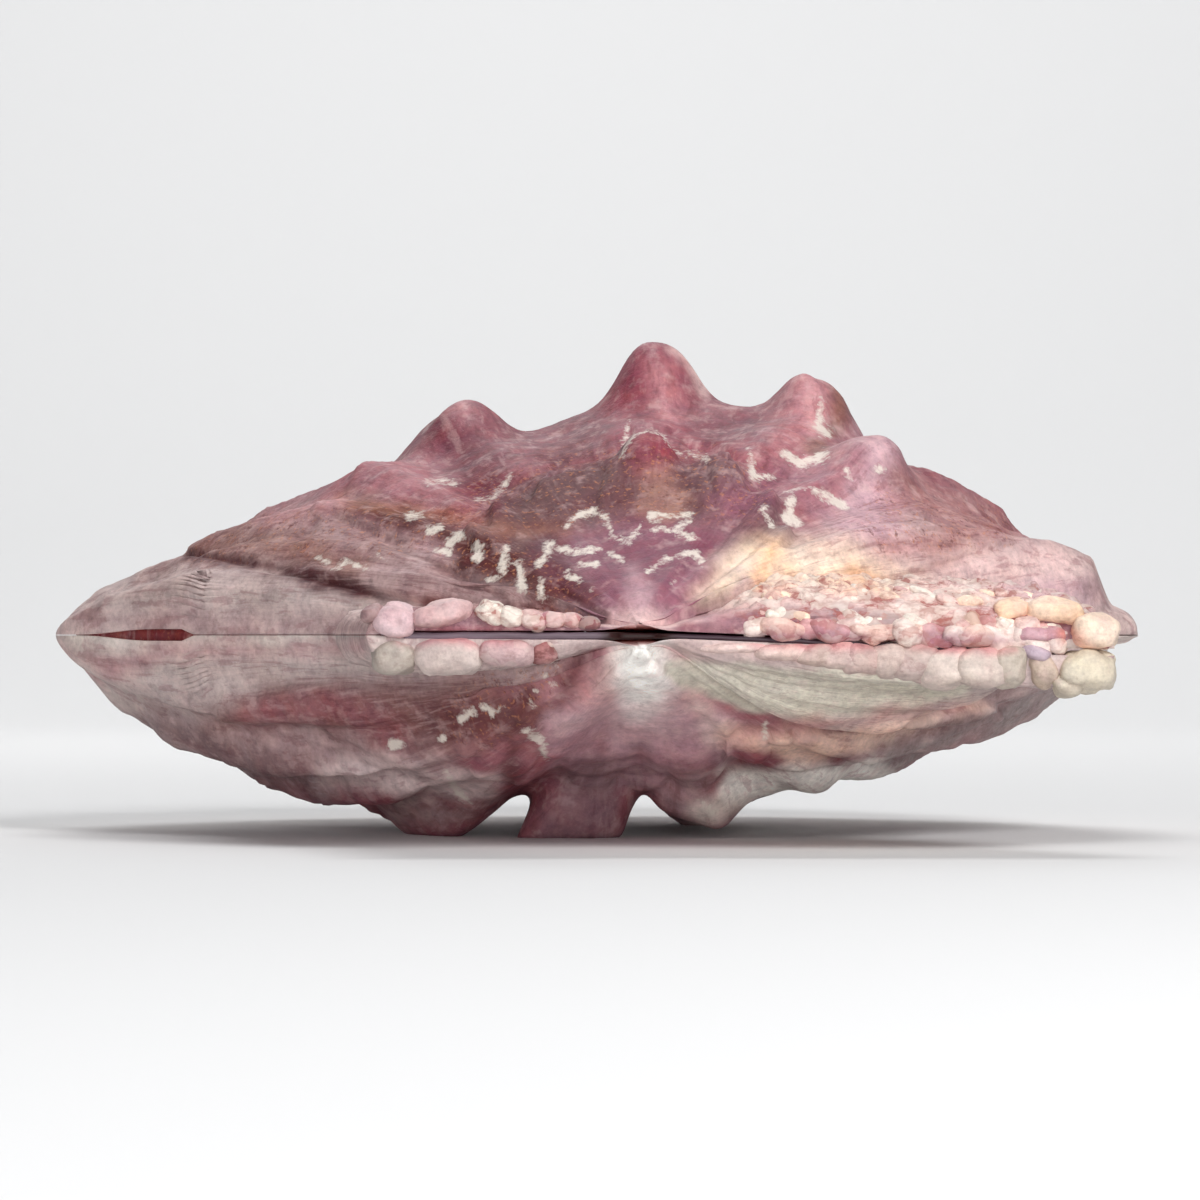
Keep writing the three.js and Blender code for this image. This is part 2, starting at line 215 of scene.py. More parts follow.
def disc_reach(angle):
    """How far a straight line from the beak runs before it leaves the disc's circle."""
    turn = np.radians(angle)
    along = DISC_MIDDLE[0] * np.sin(turn) + DISC_MIDDLE[1] * np.cos(turn)
    offset = DISC_MIDDLE[0] ** 2 + DISC_MIDDLE[1] ** 2 - DISC_RADIUS**2
    return along + np.sqrt(along**2 - offset)


def ear_reach(angle, valve):
    """How far the ears run from the beak, eased between a few sizes."""
    size = np.abs(angle)
    start, steps = valve["front_ear"]
    front = start + sum(more * ease(low, high, size) for more, low, high in steps)
    hinge, extra, fade = BACK_EAR
    back = hinge + extra * (1 - ease(*fade, size))
    return np.where(angle > 0, front, back)


def reach(angle, valve):
    """The outline: the disc's circle, and past its straight sides the ears."""
    fold = ease(*SIDE_FOLD, np.abs(angle))
    disc = disc_reach(np.clip(angle, -SIDE_ANGLE, SIDE_ANGLE))
    return disc * (1 - fold) + ear_reach(angle, valve) * fold


def between_ribs(values, first, rib):
    """Reads a value given for each rib at any place between the ribs, eased from rib to rib."""
    values = np.asarray(values, float)
    place = np.clip(rib - first, 0, len(values) - 1.0001)
    index = np.floor(place).astype(int)
    mix = ease(0, 1, place - index)
    return values[index] * (1 - mix) + values[index + 1] * mix


def closing_height(x, y, angle, growth):
    """Where the valves meet: level, with waves at the margin, and drooping under the front ears."""
    fade = (1 - ease(*WAVE_FADE, np.abs(angle))) * ease(WAVE_START, 1, growth)
    wave = MARGIN_WAVE * np.cos(2 * np.pi * rib_at(angle)) * fade
    bend, end = DROOP_ALONG
    drop = np.clip((x - bend) / (end - bend), 0, 1) * (1 - np.clip(y / DROOP_AWAY, 0, 1))
    return wave - DROOP * drop


def half_gap(x, y, angle):
    """Half of the gap between the valves: a slit along the ears and a pit at the beaks."""
    ear = np.maximum(ease(*SLIT_ANGLES, np.abs(angle)), 1 - ease(*SLIT_DEPTH, y))
    pit = PIT_GAP * np.exp(-((x / PIT_WIDTH) ** 2)) * (1 - ease(*PIT_DEPTH, y))
    slit = (EAR_GAP + BACK_GAP * (1 - ease(*BACK_GAP_END, x))) * ease(*CORNER, x)
    opens, closes = SIDE_GAP_ALONG
    side = SIDE_GAP * ease(*opens, y) * (1 - ease(*closes, y)) * ease(*SIDE_GAP_ANGLES, -angle)
    return MARGIN_GAP + slit * ear + pit + side


def disc_height(angle, growth, valve):
    """Height of the disc over the closing plane: crest times rise times fall, less the furrows."""
    rib = rib_at(angle)
    wave = np.cos(2 * np.pi * (rib - valve["phase"]))
    rise = (1 - (1 - np.minimum(growth, BOWL_PEAK) / BOWL_PEAK) ** 2) ** BOWL_RISE
    past = np.maximum(growth - BOWL_PEAK, 0) / (1 - BOWL_PEAK)
    fall = np.maximum(1 - past**2, 0) ** between_ribs(valve["blunt"], valve["first"], rib)
    closing = np.sqrt(np.maximum(1 - growth**12, 0))
    depth = valve["groove"] * ease(*valve["groove_start"], growth)
    depth = depth + valve["back_groove"] * ease(*BACK_GROOVE_START, growth)
    groove = depth * (1 - wave) / 2 * closing
    crest = between_ribs(valve["crest"], valve["first"], rib) - groove
    ledges = 0
    for place, step in valve["ledges"]:
        ahead = growth - place - LEDGE_WAVE * wave
        width = np.where(ahead < 0, LEDGE_LEAD, LEDGE_BACK)
        ledges = ledges + step * np.exp(-((ahead / width) ** 2)) * (0.85 + 0.15 * wave)
    ledges = ledges * (1 - ease(*LEDGE_FADE, np.abs(angle)))
    flank = np.sqrt(1 - (np.minimum(np.abs(angle), SIDE_ANGLE) / SIDE_ANGLE) ** FLANK_POWER)
    height, place, width = UMBO
    from_umbo = (growth * reach(angle, valve) - place) / width
    umbo = height * np.exp(-(from_umbo**2)) * (1 - ease(*UMBO_FADE, np.abs(angle)))
    thin, start, end = BRIM
    brim = 1 - thin * ease(start, end, growth) * ease(*BRIM_ANGLES, angle)
    return np.maximum((crest * rise * fall + ledges * closing + umbo) * flank * brim, 0)


def track_of(angle, distance):
    """The smooth track of the byssal notch: a band between the front ear and the disc."""
    start, end = TRACK_ANGLES
    return (1 - ease(*end, angle)) * ease(*start, angle) * ease(*TRACK_START, distance)


def ear_height(y, angle, distance, valve):
    """Height of the ears: a thin plate that rises behind the hinge edge, and the track."""
    size = np.abs(angle)
    back, front = valve["thickness"]
    thick = np.where(angle < 0, back, front) * (1 - np.exp(-((distance / EAR_THICKENS) ** EAR_POWER)))
    track = valve["track"] * track_of(angle, distance)
    edge = np.sqrt(np.maximum(1 - (distance / ear_reach(angle, valve)) ** EAR_ROUND, 0))
    wall = np.sqrt(1 - (1 - np.clip(y / HINGE_ROUND, 0, 1)) ** 2)
    wall = np.where(size > HINGE_WALL_ANGLE, wall, 1)
    slope, until = EAR_SLOPE
    raised = slope * np.clip(y, 0, until) * ease(*EAR_SLOPE_ANGLES, angle)
    raised = raised * ease(*EAR_SLOPE_START, distance) * (valve["side"] > 0)
    return np.maximum((thick * ease(*EAR_ANGLES, size) + raised + track) * edge * wall, 0)


def knob_shape(x, y, knob):
    """Height share and sideways flare of a knob: a round bump, steeper on its far side."""
    rib, distance, _, width, length, flare = knob
    turn = np.radians(angle_of_rib(rib))
    dx = x - distance * np.sin(turn)
    dy = y - distance * np.cos(turn)
    along = dx * np.sin(turn) + dy * np.cos(turn)
    across = dx * np.cos(turn) - dy * np.sin(turn)
    along = np.where(along > 0, along * BUMP_BACK, along)
    bump = np.exp(-(np.hypot(across / width, along / length) ** BUMP_POWER))
    lip = flare * bump**1.5 * np.tanh(across / width * 2.5) * np.where(across < 0, 1, 0.2)
    return bump, lip


def outer_surface(angle, growth, valve):
    """Points of a valve's outside, and the masks that its finish needs."""
    distance = growth * reach(angle, valve)
    x = distance * np.sin(np.radians(angle))
    y = distance * np.cos(np.radians(angle))
    disc = disc_height(angle, growth, valve)
    ear = ear_height(y, angle, distance, valve)
    height = (disc**JOIN_POWER + ear**JOIN_POWER) ** (1 / JOIN_POWER)
    lip = 0
    knobs = 0
    for knob in valve["knobs"]:
        bump, flare = knob_shape(x, y, knob)
        height = height + knob[2] * bump
        lip = lip + flare
        knobs = np.maximum(knobs, bump * min(1, knob[2] / 2.5))
    height = np.where(growth >= 1, 0, height)
    closing = closing_height(x, y, angle, growth)
    gap = half_gap(x, y, angle)
    z = closing + valve["side"] * (height + gap)
    points = np.stack([x + lip, y, z], -1)
    return points, dict(distance=distance, knob=knobs, flat_x=x, flat_y=y)


def inner_surface(angle, growth, valve):
    """Points of the hollow inside: the disc drawn in towards its middle, one wall deep."""
    distance = growth * disc_reach(angle)
    x = DISC_MIDDLE[0] + INNER_SCALE * (distance * np.sin(np.radians(angle)) - DISC_MIDDLE[0])
    y = DISC_MIDDLE[1] + INNER_SCALE * (distance * np.cos(np.radians(angle)) - DISC_MIDDLE[1])
    height = np.maximum(INNER_FOLLOW * disc_height(angle, growth, valve) - WALL, 0.3)
    height[0] = 0
    height[-1] = 0
    height[:, -1] = 0
    closing = closing_height(x, y, angle, growth)
    return np.stack([x, y, closing + valve["side"] * (height + half_gap(x, y, angle))], -1)


def value_noise(points, size, seed, period=32):
    """Smooth random values from -1 to 1 at points, a new one every `size` millimetres."""
    lattice = np.random.default_rng(seed).uniform(-1, 1, (period, period, period))
    place = points / size
    cell = np.floor(place).astype(int)
    t = place - cell
    t = t * t * (3 - 2 * t)
    total = 0
    for corner in np.ndindex(2, 2, 2):
        weight = np.prod(np.where(corner, t, 1 - t), axis=-1)
        index = (cell + corner) % period
        total = total + weight * lattice[index[..., 0], index[..., 1], index[..., 2]]
    return total


def saw(value):
    """Rises slowly from 0 to 1 and drops at once, over and over."""
    return value - np.floor(value)


# Fine relief of the outside: where it is, from start to full or from full to gone
DISC_END = (46.5, 49.5)
EAR_START = (53, 56)
EAR_END = (87, 89.5)
FOLD_FROM = (46.5, 49)
FOLD_TO = (52, 55)
LATE_GROWTH = (0.2, 0.75)
MARGIN_FADE = (0.97, 1)
BEAK_SMOOTH = (0, 4)
KNOB_WEAR = 0.75

# Its heights and spacings, and its random changes: size in millimetres and seed
RIBLETS = 10
RIBLET_HEIGHT = (0.01, 0.34)
RIBLET_START = (0.5, 0.8)
RIBLET_FADE = (28, 42)
RIBLET_BEND = (14, 3)
RIBLET_PATCHES = (9, 7)
LINE_SPACING = 1.3
LINE_HEIGHT = 0.07
LINE_ANGLE = 9
LINE_WANDER = (12, 4)
HALT_SPACING = 5.2
HALT_HEIGHT = 0.24
HALT_FADE = (38, 46)
HALT_BACK = (20, 40)
HALT_PATCHES = (16, 6)
LUMP_SIZES = ((7.0, 0.32), (2.6, 0.12), (1.2, 0.05))
EAR_RIB_ANGLE = 6.4
EAR_RIB_HEIGHT = 0.3
EAR_RIB_START = (5, 14)
EAR_SCALE_SPACING = 2.9
SCALE_SIZE = (3.0, 2.3)
SCALE_HEIGHT = 0.95
SCALE_START = (8, 14)
SCALE_ROW_BEND = (3.5, 11)
SCALE_COLUMN_BEND = (4, 12)
TRACK_HEIGHT = 0.5
TRACK_CONTRAST = 0.42

# Stripes of the track: share, width in degrees, length in millimetres and seed
TRACK_STRIPES = ((0.7, 1.9, 30, 8), (0.4, 0.8, 18, 9))


def track_stripes(angle, masks):
    """Stripes of the byssal track, from -1 to 1: long random values that fan out from the beak."""
    flat = np.stack([masks["flat_x"], masks["flat_y"], 0 * angle], -1)
    distance = masks["distance"]
    bent = angle + 0.9 * value_noise(flat, *LINE_WANDER)
    stripes = 0
    for share, wide, long, seed in TRACK_STRIPES:
        place = np.stack([bent / wide, distance / long, 0 * angle], -1)
        stripes = stripes + share * value_noise(place, 1, seed)
    return stripes * track_of(angle, distance)


def relief(angle, growth, valve, masks):
    """Height of the fine relief: riblets, growth lines and halts, soft lumps, and rays on the ears."""
    size = np.abs(angle)
    rib = rib_at(angle)
    flat = np.stack([masks["flat_x"], masks["flat_y"], 0 * angle], -1)
    distance = masks["distance"]
    disc = 1 - ease(*DISC_END, size)
    ear = ease(*EAR_START, size) * (1 - ease(*EAR_END, size))
    late = ease(*LATE_GROWTH, growth)
    worn = 1 - KNOB_WEAR * masks["knob"]
    margin = 1 - ease(*MARGIN_FADE, growth)

    low, more = RIBLET_HEIGHT
    riblets = np.cos(2 * np.pi * RIBLETS * rib + 0.5 * value_noise(flat, *RIBLET_BEND))
    back = ease(*RIBLET_START, growth) * (1 - ease(*RIBLET_FADE, size))
    back = back * (0.7 + 0.5 * value_noise(flat, *RIBLET_PATCHES))
    total = riblets * (low + more * back) * disc * worn
    wander = 0.6 * value_noise(flat, *LINE_WANDER)
    across = np.stack([distance / LINE_SPACING + wander, angle / LINE_ANGLE, 0 * angle], -1)
    lines = value_noise(across, 1, 5)
    fold = ease(*FOLD_FROM, size) * (1 - ease(*FOLD_TO, size))
    total = total + LINE_HEIGHT * (0.5 + 0.5 * late) * lines * margin * (1 - fold)
    halts = saw(distance / HALT_SPACING * (0.85 + 0.15 * np.cos(3 * growth)) + wander)
    strength = HALT_HEIGHT * (0.1 + 0.9 * late) * (0.6 + 0.4 * value_noise(flat, *HALT_PATCHES))
    if valve["side"] < 0:
        strength = strength * (0.6 + 1.2 * ease(*HALT_BACK, -angle))
    where = 1 - ease(*HALT_FADE, size) + 0.6 * ear
    total = total + strength * (halts**2 - 0.3) * margin * where * worn

    for spacing, height in LUMP_SIZES:
        lumps = height * value_noise(flat, spacing, int(10 * spacing))
        total = total + lumps * margin * (1 - 0.6 * masks["knob"])

    rays = np.cos(2 * np.pi * size / EAR_RIB_ANGLE)
    scales = 0.6 + 0.8 * saw(distance / EAR_SCALE_SPACING + 0.25 * rays + wander) ** 2
    smooth_track = track_of(angle, distance) if valve["track"] else 0
    ear_ribs = EAR_RIB_HEIGHT * rays * scales * ear * margin
    total = total + ear_ribs * ease(*EAR_RIB_START, distance) * (1 - smooth_track)
    if valve["side"] > 0:
        row = masks["flat_y"] / SCALE_SIZE[1] + 0.5 * value_noise(flat, *SCALE_ROW_BEND)
        column = masks["flat_x"] / SCALE_SIZE[0] + 0.5 * np.floor(row)
        column = column + 0.6 * value_noise(flat, *SCALE_COLUMN_BEND)
        scaly = (1 - saw(row)) ** 0.7 * np.sqrt(np.abs(np.cos(np.pi * column)))
        total = total + SCALE_HEIGHT * scaly * ear * ease(*SCALE_START, distance) * (angle > 0) * margin
    if valve["track"]:
        total = total + TRACK_HEIGHT * track_stripes(angle, masks)
    return total * ease(*BEAK_SMOOTH, distance)


# Mesh columns: the hinge wall, the plate of the ear, the fold at the disc's side, and the ribs
WALL_COLUMNS = 15
WALL_END = 86
PLATE_COLUMNS = 24
PLATE_END = 53
FOLD_COLUMNS = 36
FOLD_MIDDLE = 50.3
FOLD_SPREAD = 2.7
FOLD_END = -0.6
RIB_COLUMNS = 311
RIBS_END = 48.6


def column_angles():
    """Angles of the mesh columns: closest at the hinge edges, and even over the ribs."""
    wall = 90 - (90 - WALL_END) * np.linspace(0, 1, WALL_COLUMNS, endpoint=False) ** 1.8
    plate = np.linspace(WALL_END, PLATE_END, PLATE_COLUMNS, endpoint=False)
    turn = np.linspace(1, FOLD_END, FOLD_COLUMNS)
    fold = FOLD_MIDDLE + FOLD_SPREAD * np.sign(turn) * np.abs(turn) ** 1.5
    side = np.concatenate([wall, plate, fold])
    disc = angle_of_rib(np.linspace(rib_at(-RIBS_END), rib_at(RIBS_END), RIB_COLUMNS))
    return np.concatenate([-side, disc, side[::-1]]), len(side)


# Mesh rows: the growths where their spacing changes, and how many there are up to each
ROW_GROWTHS = (0.3, 0.58)
ROW_COUNTS = (76, 54, 71)


def row_growths():
    """Growth values of the mesh rows: closest over the early shell and at the margin."""
    first, second = ROW_GROWTHS
    early = np.linspace(0, first, ROW_COUNTS[0])[1:]
    middle = np.linspace(first, second, ROW_COUNTS[1])[1:]
    late = 1 - (1 - second) * (1 - np.linspace(0, 1, ROW_COUNTS[2])[1:]) ** 1.25
    return np.concatenate([early, middle, late])


def grid_normals(points, side):
    """Unit normals of a grid of points, on the outer side of a valve."""
    across = np.gradient(points, axis=0)
    along = np.gradient(points, axis=1)
    normals = np.cross(along, across) * -side
    return normals / np.maximum(np.linalg.norm(normals, axis=-1, keepdims=True), 1e-9)


def make_object(name, points, faces, layers, material):
    """An object from points in hinge millimetres, with a float or colour layer for each finish value."""
    mesh = bpy.data.meshes.new(name)
    mesh.from_pydata(((points + BEAK) * MM).tolist(), [], faces)
    mesh.update()
    mesh.polygons.foreach_set("use_smooth", np.ones(len(mesh.polygons), bool))
    for layer, values in layers.items():
        if values.ndim == 2:
            colours = np.concatenate([values, np.ones((len(values), 1))], 1)
            attribute = mesh.attributes.new(layer, "FLOAT_COLOR", "POINT")
            attribute.data.foreach_set("color", colours.astype(np.float32).ravel())
        else:
            attribute = mesh.attributes.new(layer, "FLOAT", "POINT")
            attribute.data.foreach_set("value", values.astype(np.float32))
    mesh.materials.append(material)
    piece = bpy.data.objects.new(name, mesh)
    bpy.context.scene.collection.objects.link(piece)
    return piece


# Camera: where it stands and how large it shows things, in the hinge's frame
CAMERA_AWAY = 550.0
CAMERA_X = -4.0
PIXELS_PER_MM = 8.6
SCALE_DEPTH = 62.0
IMAGE = 1200
SENSOR = 36.0
LEVEL_LINE = 635
FOCAL_PIXELS = PIXELS_PER_MM * (CAMERA_AWAY + SCALE_DEPTH)


def on_front_view(points):
    """Where points fall on the front view: pixels across and down a picture 1200 pixels wide."""
    scale = FOCAL_PIXELS / (CAMERA_AWAY + points[..., 1])
    across = IMAGE / 2 + (points[..., 0] - CAMERA_X) * scale
    down = LEVEL_LINE - points[..., 2] * scale
    return across, down


def from_stroke(across, down, stroke):
    """Distance in pixels to the edge of a brush stroke, a list of (across, down, half width)."""
    if len(stroke) == 1:
        stroke = stroke * 2
    nearest = np.full(across.shape, 1e6)
    for (x0, y0, w0), (x1, y1, w1) in zip(stroke, stroke[1:]):
        dx, dy = x1 - x0, y1 - y0
        t = np.clip(((across - x0) * dx + (down - y0) * dy) / max(dx * dx + dy * dy, 1e-9), 0, 1)
        away = np.hypot(across - x0 - t * dx, down - y0 - t * dy) - (w0 + t * (w1 - w0))
        nearest = np.minimum(nearest, away)
    return nearest


def colour(red, green, blue):
    """A colour given on the 0 to 255 scale, in the linear light that the renderer uses."""
    values = np.array([red, green, blue]) / 255
    return np.where(values > 0.04045, ((values + 0.055) / 1.055) ** 2.4, values / 12.92)


ROSE = colour(158, 94, 103)
DEEP_ROSE = colour(134, 74, 84)
PINK = colour(200, 144, 148)
PALE_PINK = colour(224, 190, 186)
MAUVE = colour(144, 90, 106)
LILAC = colour(196, 158, 166)
DULL_MAUVE = colour(116, 84, 90)
GREY_BROWN = colour(110, 80, 80)
BROWN = colour(136, 92, 82)
RED_BROWN = colour(118, 70, 68)
DARK_RED = colour(96, 48, 50)
# Partly the red of the inside, and partly painted light: much brighter than that red, to stand in for light
# in the dim hollow
INSIDE = colour(226, 124, 114)
HINGE_SHADE = colour(112, 68, 84)
RUST = colour(206, 136, 98)
ORANGE = colour(240, 186, 142)
CREAM = colour(246, 220, 196)
WHITE = colour(232, 222, 210)
GREY_WHITE = colour(190, 172, 168)
GREY_PINK = colour(164, 134, 134)

# Soft zones of colour, in painting order: colour, strength, softness in pixels, and the stroke
LEFT_ZONES = {
    "back flank": (GREY_WHITE, 0.8, 26, [(120, 600, 26), (220, 585, 30), (370, 605, 24)]),
    "back flank rose edge": (GREY_PINK, 0.7, 14, [(80, 618, 10), (200, 625, 10), (370, 628, 8)]),
    "back flank tip": (BROWN, 0.35, 22, [(90, 612, 8), (160, 572, 14)]),
    "second rib": (GREY_PINK, 0.8, 22, [(210, 545, 18), (300, 525, 22), (420, 580, 14)]),
    "second rib brown": (BROWN, 0.75, 18, [(190, 545, 10), (260, 545, 18), (350, 565, 12)]),
    "second rib top": (PINK, 0.5, 14, [(265, 516, 8), (340, 500, 12)]),
    # Painted shade: the groove between the first two ribs, darkened
    "first furrow": (colour(86, 46, 50), 0.95, 8, [(190, 556, 4), (270, 566, 6), (390, 598, 5)]),
    "third rib": (ROSE, 0.8, 18, [(340, 480, 16), (400, 480, 18), (440, 500, 16)]),
    "second furrow": (colour(140, 108, 108), 0.85, 14, [(340, 520, 8), (420, 560, 10), (500, 606, 6)]),
    "dotted band": (colour(86, 44, 44), 1.0, 16,
                    [(360, 505, 10), (440, 530, 18), (510, 570, 20), (590, 602, 8)]),
    "dotted band rust": (RUST, 0.3, 10, [(340, 500, 5), (430, 510, 7), (520, 530, 7), (565, 530, 5)]),
    "umbo": (colour(118, 62, 80), 0.95, 24, [(560, 556, 14), (640, 560, 34), (710, 548, 12)]),
    # Painted shade: the crease behind the umbo, darkened
    "umbo back": (colour(88, 42, 52), 0.8, 14, [(540, 545, 8), (585, 590, 12)]),
    "umbo rays": (LILAC, 0.6, 12, [(640, 620, 8), (640, 592, 12), (632, 572, 2)]),
    "beak": (PALE_PINK, 0.9, 14, [(620, 622, 10), (662, 622, 10)]),
    "early shell": (colour(106, 68, 72), 0.9, 24,
                    [(500, 500, 18), (560, 500, 30), (640, 478, 26), (720, 490, 20)]),
    # Painted shadow under the early shell's ledge, in grey brown
    "early shell grey": (colour(104, 80, 80), 0.6, 20, [(520, 505, 16), (560, 490, 12), (610, 470, 6)]),
    "early knob": (colour(160, 118, 108), 0.8, 12, [(650, 440, 10), (656, 455, 16), (665, 500, 24)]),
    "early right": (MAUVE, 0.8, 20, [(730, 510, 22), (790, 470, 14), (830, 480, 10)]),
    "knob D": (colour(110, 48, 62), 0.92, 24, [(455, 420, 30), (480, 470, 34)]),
    # Painted highlight on the top of knob D
    "knob D top": (PINK, 0.5, 14, [(462, 408, 14)]),
    "saddle D": (colour(112, 46, 60), 0.95, 18, [(510, 440, 14), (600, 425, 20)]),
    "saddle D shade": (DULL_MAUVE, 0.6, 12, [(500, 468, 4), (560, 458, 8), (615, 450, 6)]),
    "knob E": (colour(138, 66, 80), 0.95, 24, [(655, 360, 30), (655, 430, 40)]),
    # Painted highlights: knob E lighter in its middle and along its upper right rim
    "knob E glow": (PINK, 0.65, 18, [(660, 375, 12), (668, 410, 12)]),
    "knob E rim": (PALE_PINK, 0.85, 8, [(672, 350, 3), (692, 362, 5), (704, 392, 3)]),
    "knob E red side": (DEEP_ROSE, 0.6, 12, [(640, 395, 6), (640, 440, 8)]),
    "saddle E": (colour(116, 54, 68), 0.95, 18, [(720, 430, 18), (775, 420, 16)]),
    "knob F": (PINK, 0.9, 22, [(812, 390, 24), (800, 435, 26)]),
    "knob F rose": (ROSE, 0.7, 14, [(795, 385, 8), (790, 440, 14)]),
    "knob F brown": (BROWN, 0.9, 10, [(836, 392, 6), (840, 420, 8), (820, 448, 7)]),
    "knob G": (LILAC, 0.9, 26, [(872, 450, 24), (860, 510, 34), (890, 550, 20)]),
    "knob G rose": (ROSE, 0.7, 14, [(855, 450, 14), (835, 490, 10)]),
    "cream flank": (CREAM, 0.95, 24, [(700, 595, 6), (760, 565, 20), (840, 570, 24), (940, 600, 12)]),
    "cream flank glow": (ORANGE, 0.5, 16, [(772, 545, 8), (765, 580, 14), (850, 585, 10)]),
    "cream flank pale": (WHITE, 0.5, 12, [(800, 555, 6), (812, 590, 6)]),
    "H rib": (colour(164, 116, 116), 0.9, 18, [(900, 480, 10), (960, 515, 22), (1005, 530, 10)]),
    "H rib low": (colour(178, 128, 124), 0.8, 14, [(890, 545, 8), (980, 545, 8)]),
    # Painted shade: a thin dark line in the last furrow
    "last furrow": (RED_BROWN, 0.6, 8, [(870, 590, 2), (940, 566, 2), (1010, 545, 2)]),
    "I rib": (PALE_PINK, 0.9, 20, [(900, 600, 8), (980, 575, 22), (1060, 570, 24)]),
    "I rib lilac": (LILAC, 0.8, 14, [(1010, 595, 10), (1085, 590, 12)]),
    "front tip": (GREY_PINK, 0.8, 12, [(1095, 585, 8), (1130, 612, 8)]),
    "back ear plate": (RED_BROWN, 0.9, 8, [(430, 604, 8), (520, 612, 12), (600, 620, 8)]),
    "back ear edge": (ROSE, 0.7, 5, [(420, 630, 2), (480, 630, 3), (600, 631, 2)]),
    "beside umbo": (DULL_MAUVE, 0.8, 8, [(572, 608, 5), (600, 618, 6)]),
    "beside umbo front": (colour(160, 118, 126), 0.85, 9, [(684, 612, 8), (720, 620, 10), (770, 624, 9)]),
    "cream blotches": (ORANGE, 0.7, 7, [(770, 552, 4), (756, 575, 6), (762, 590, 4)]),
    "cream blotches two": (colour(232, 176, 136), 0.6, 8, [(850, 572, 3), (876, 588, 6)]),
    "cream blotches three": (LILAC, 0.6, 6, [(745, 580, 5), (735, 592, 5)]),
    "ear under I rib": (PALE_PINK, 0.8, 10, [(760, 600, 8), (1000, 608, 8)]),
    "slit shade": (DEEP_ROSE, 0.55, 8, [(680, 628, 4), (900, 636, 3), (1020, 636, 3)]),
}
RIGHT_ZONES = {
    "back flank": (GREY_WHITE, 0.85, 26, [(120, 680, 16), (220, 690, 30), (340, 665, 20)]),
    "back flank rose": (ROSE, 0.6, 14, [(60, 650, 6), (110, 668, 12), (170, 652, 6), (360, 648, 4)]),
    "back flank low": (colour(118, 90, 92), 0.9, 20, [(130, 715, 10), (240, 760, 18), (330, 790, 10)]),
    "red rib": (RED_BROWN, 0.85, 20, [(220, 720, 12), (300, 705, 20), (440, 720, 34), (530, 720, 26)]),
    "red rib rose": (ROSE, 0.5, 16, [(250, 715, 10), (330, 700, 12), (400, 740, 12)]),
    "red rib low": (colour(212, 188, 186), 0.95, 14, [(330, 775, 12), (430, 782, 20), (488, 786, 14)]),
    "red rib sole": (GREY_WHITE, 0.5, 14, [(400, 815, 12), (470, 815, 6)]),
    "red rib dark": (colour(84, 48, 52), 0.6, 18, [(440, 722, 18), (520, 712, 18)]),
    "dark umbo": (DARK_RED, 0.85, 16, [(585, 655, 8), (570, 680, 16), (560, 705, 6)]),
    "umbo rose": (DEEP_ROSE, 0.7, 12, [(600, 652, 8), (595, 675, 8)]),
    "fan side": (DARK_RED, 0.75, 10, [(530, 690, 8), (512, 735, 10), (512, 780, 6)]),
    "fan": (colour(182, 140, 148), 0.95, 12, [(566, 736, 28), (640, 740, 50), (712, 736, 28)]),
    "fan pale": (colour(206, 174, 176), 0.6, 18, [(560, 725, 8), (600, 715, 10), (630, 705, 10)]),
    "fan front": (colour(222, 192, 186), 0.8, 16, [(690, 690, 8), (715, 730, 14)]),
    "fan rays": (DEEP_ROSE, 0.45, 8, [(610, 705, 3), (600, 760, 4)]),
    "fan rays two": (DEEP_ROSE, 0.45, 8, [(645, 700, 3), (640, 760, 4)]),
    # Partly the white patch at the lower valve's apex, and partly painted light: brighter than its colour, to
    # lift the shade on this downward-facing part
    "apex glow": (colour(226, 196, 196), 0.6, 28, [(640, 668, 24), (644, 704, 34)]),
    "apex": (colour(255, 252, 246), 1.0, 18, [(640, 640, 14), (640, 660, 26), (642, 682, 26)]),
    "lobe one": (colour(142, 108, 114), 0.9, 16, [(590, 785, 28), (572, 830, 46)]),
    "lobe two": (colour(188, 154, 156), 0.9, 18, [(690, 790, 22), (700, 815, 18)]),
    "lobe two sole": (WHITE, 0.7, 12, [(705, 812, 10), (742, 800, 8)]),
    "fasciole": (colour(212, 206, 190), 0.97, 6,
                 [(672, 668, 6), (735, 684, 24), (850, 694, 28), (960, 688, 14)]),
    "fasciole rose": (colour(206, 178, 172), 0.8, 10, [(680, 650, 6), (800, 655, 8), (1000, 650, 8)]),
    "front rib": (colour(232, 194, 176), 0.95, 10,
                  [(728, 732, 8), (800, 750, 17), (890, 732, 12), (980, 710, 8)]),
    "front rib rose": (colour(176, 116, 120), 0.6, 12, [(735, 735, 8), (860, 720, 5), (960, 702, 4)]),
    # Partly the whitish bottom of the front rib, and partly painted light lifting the shade on its underside
    "front rib sole": (colour(246, 240, 232), 0.95, 10, [(735, 782, 14), (810, 786, 20), (880, 770, 14)]),
    "front flank": (colour(150, 136, 134), 0.9, 16, [(890, 755, 12), (960, 735, 12), (1050, 700, 10)]),
    "front flank shade": (DULL_MAUVE, 0.6, 10, [(900, 740, 5), (980, 715, 5)]),
}

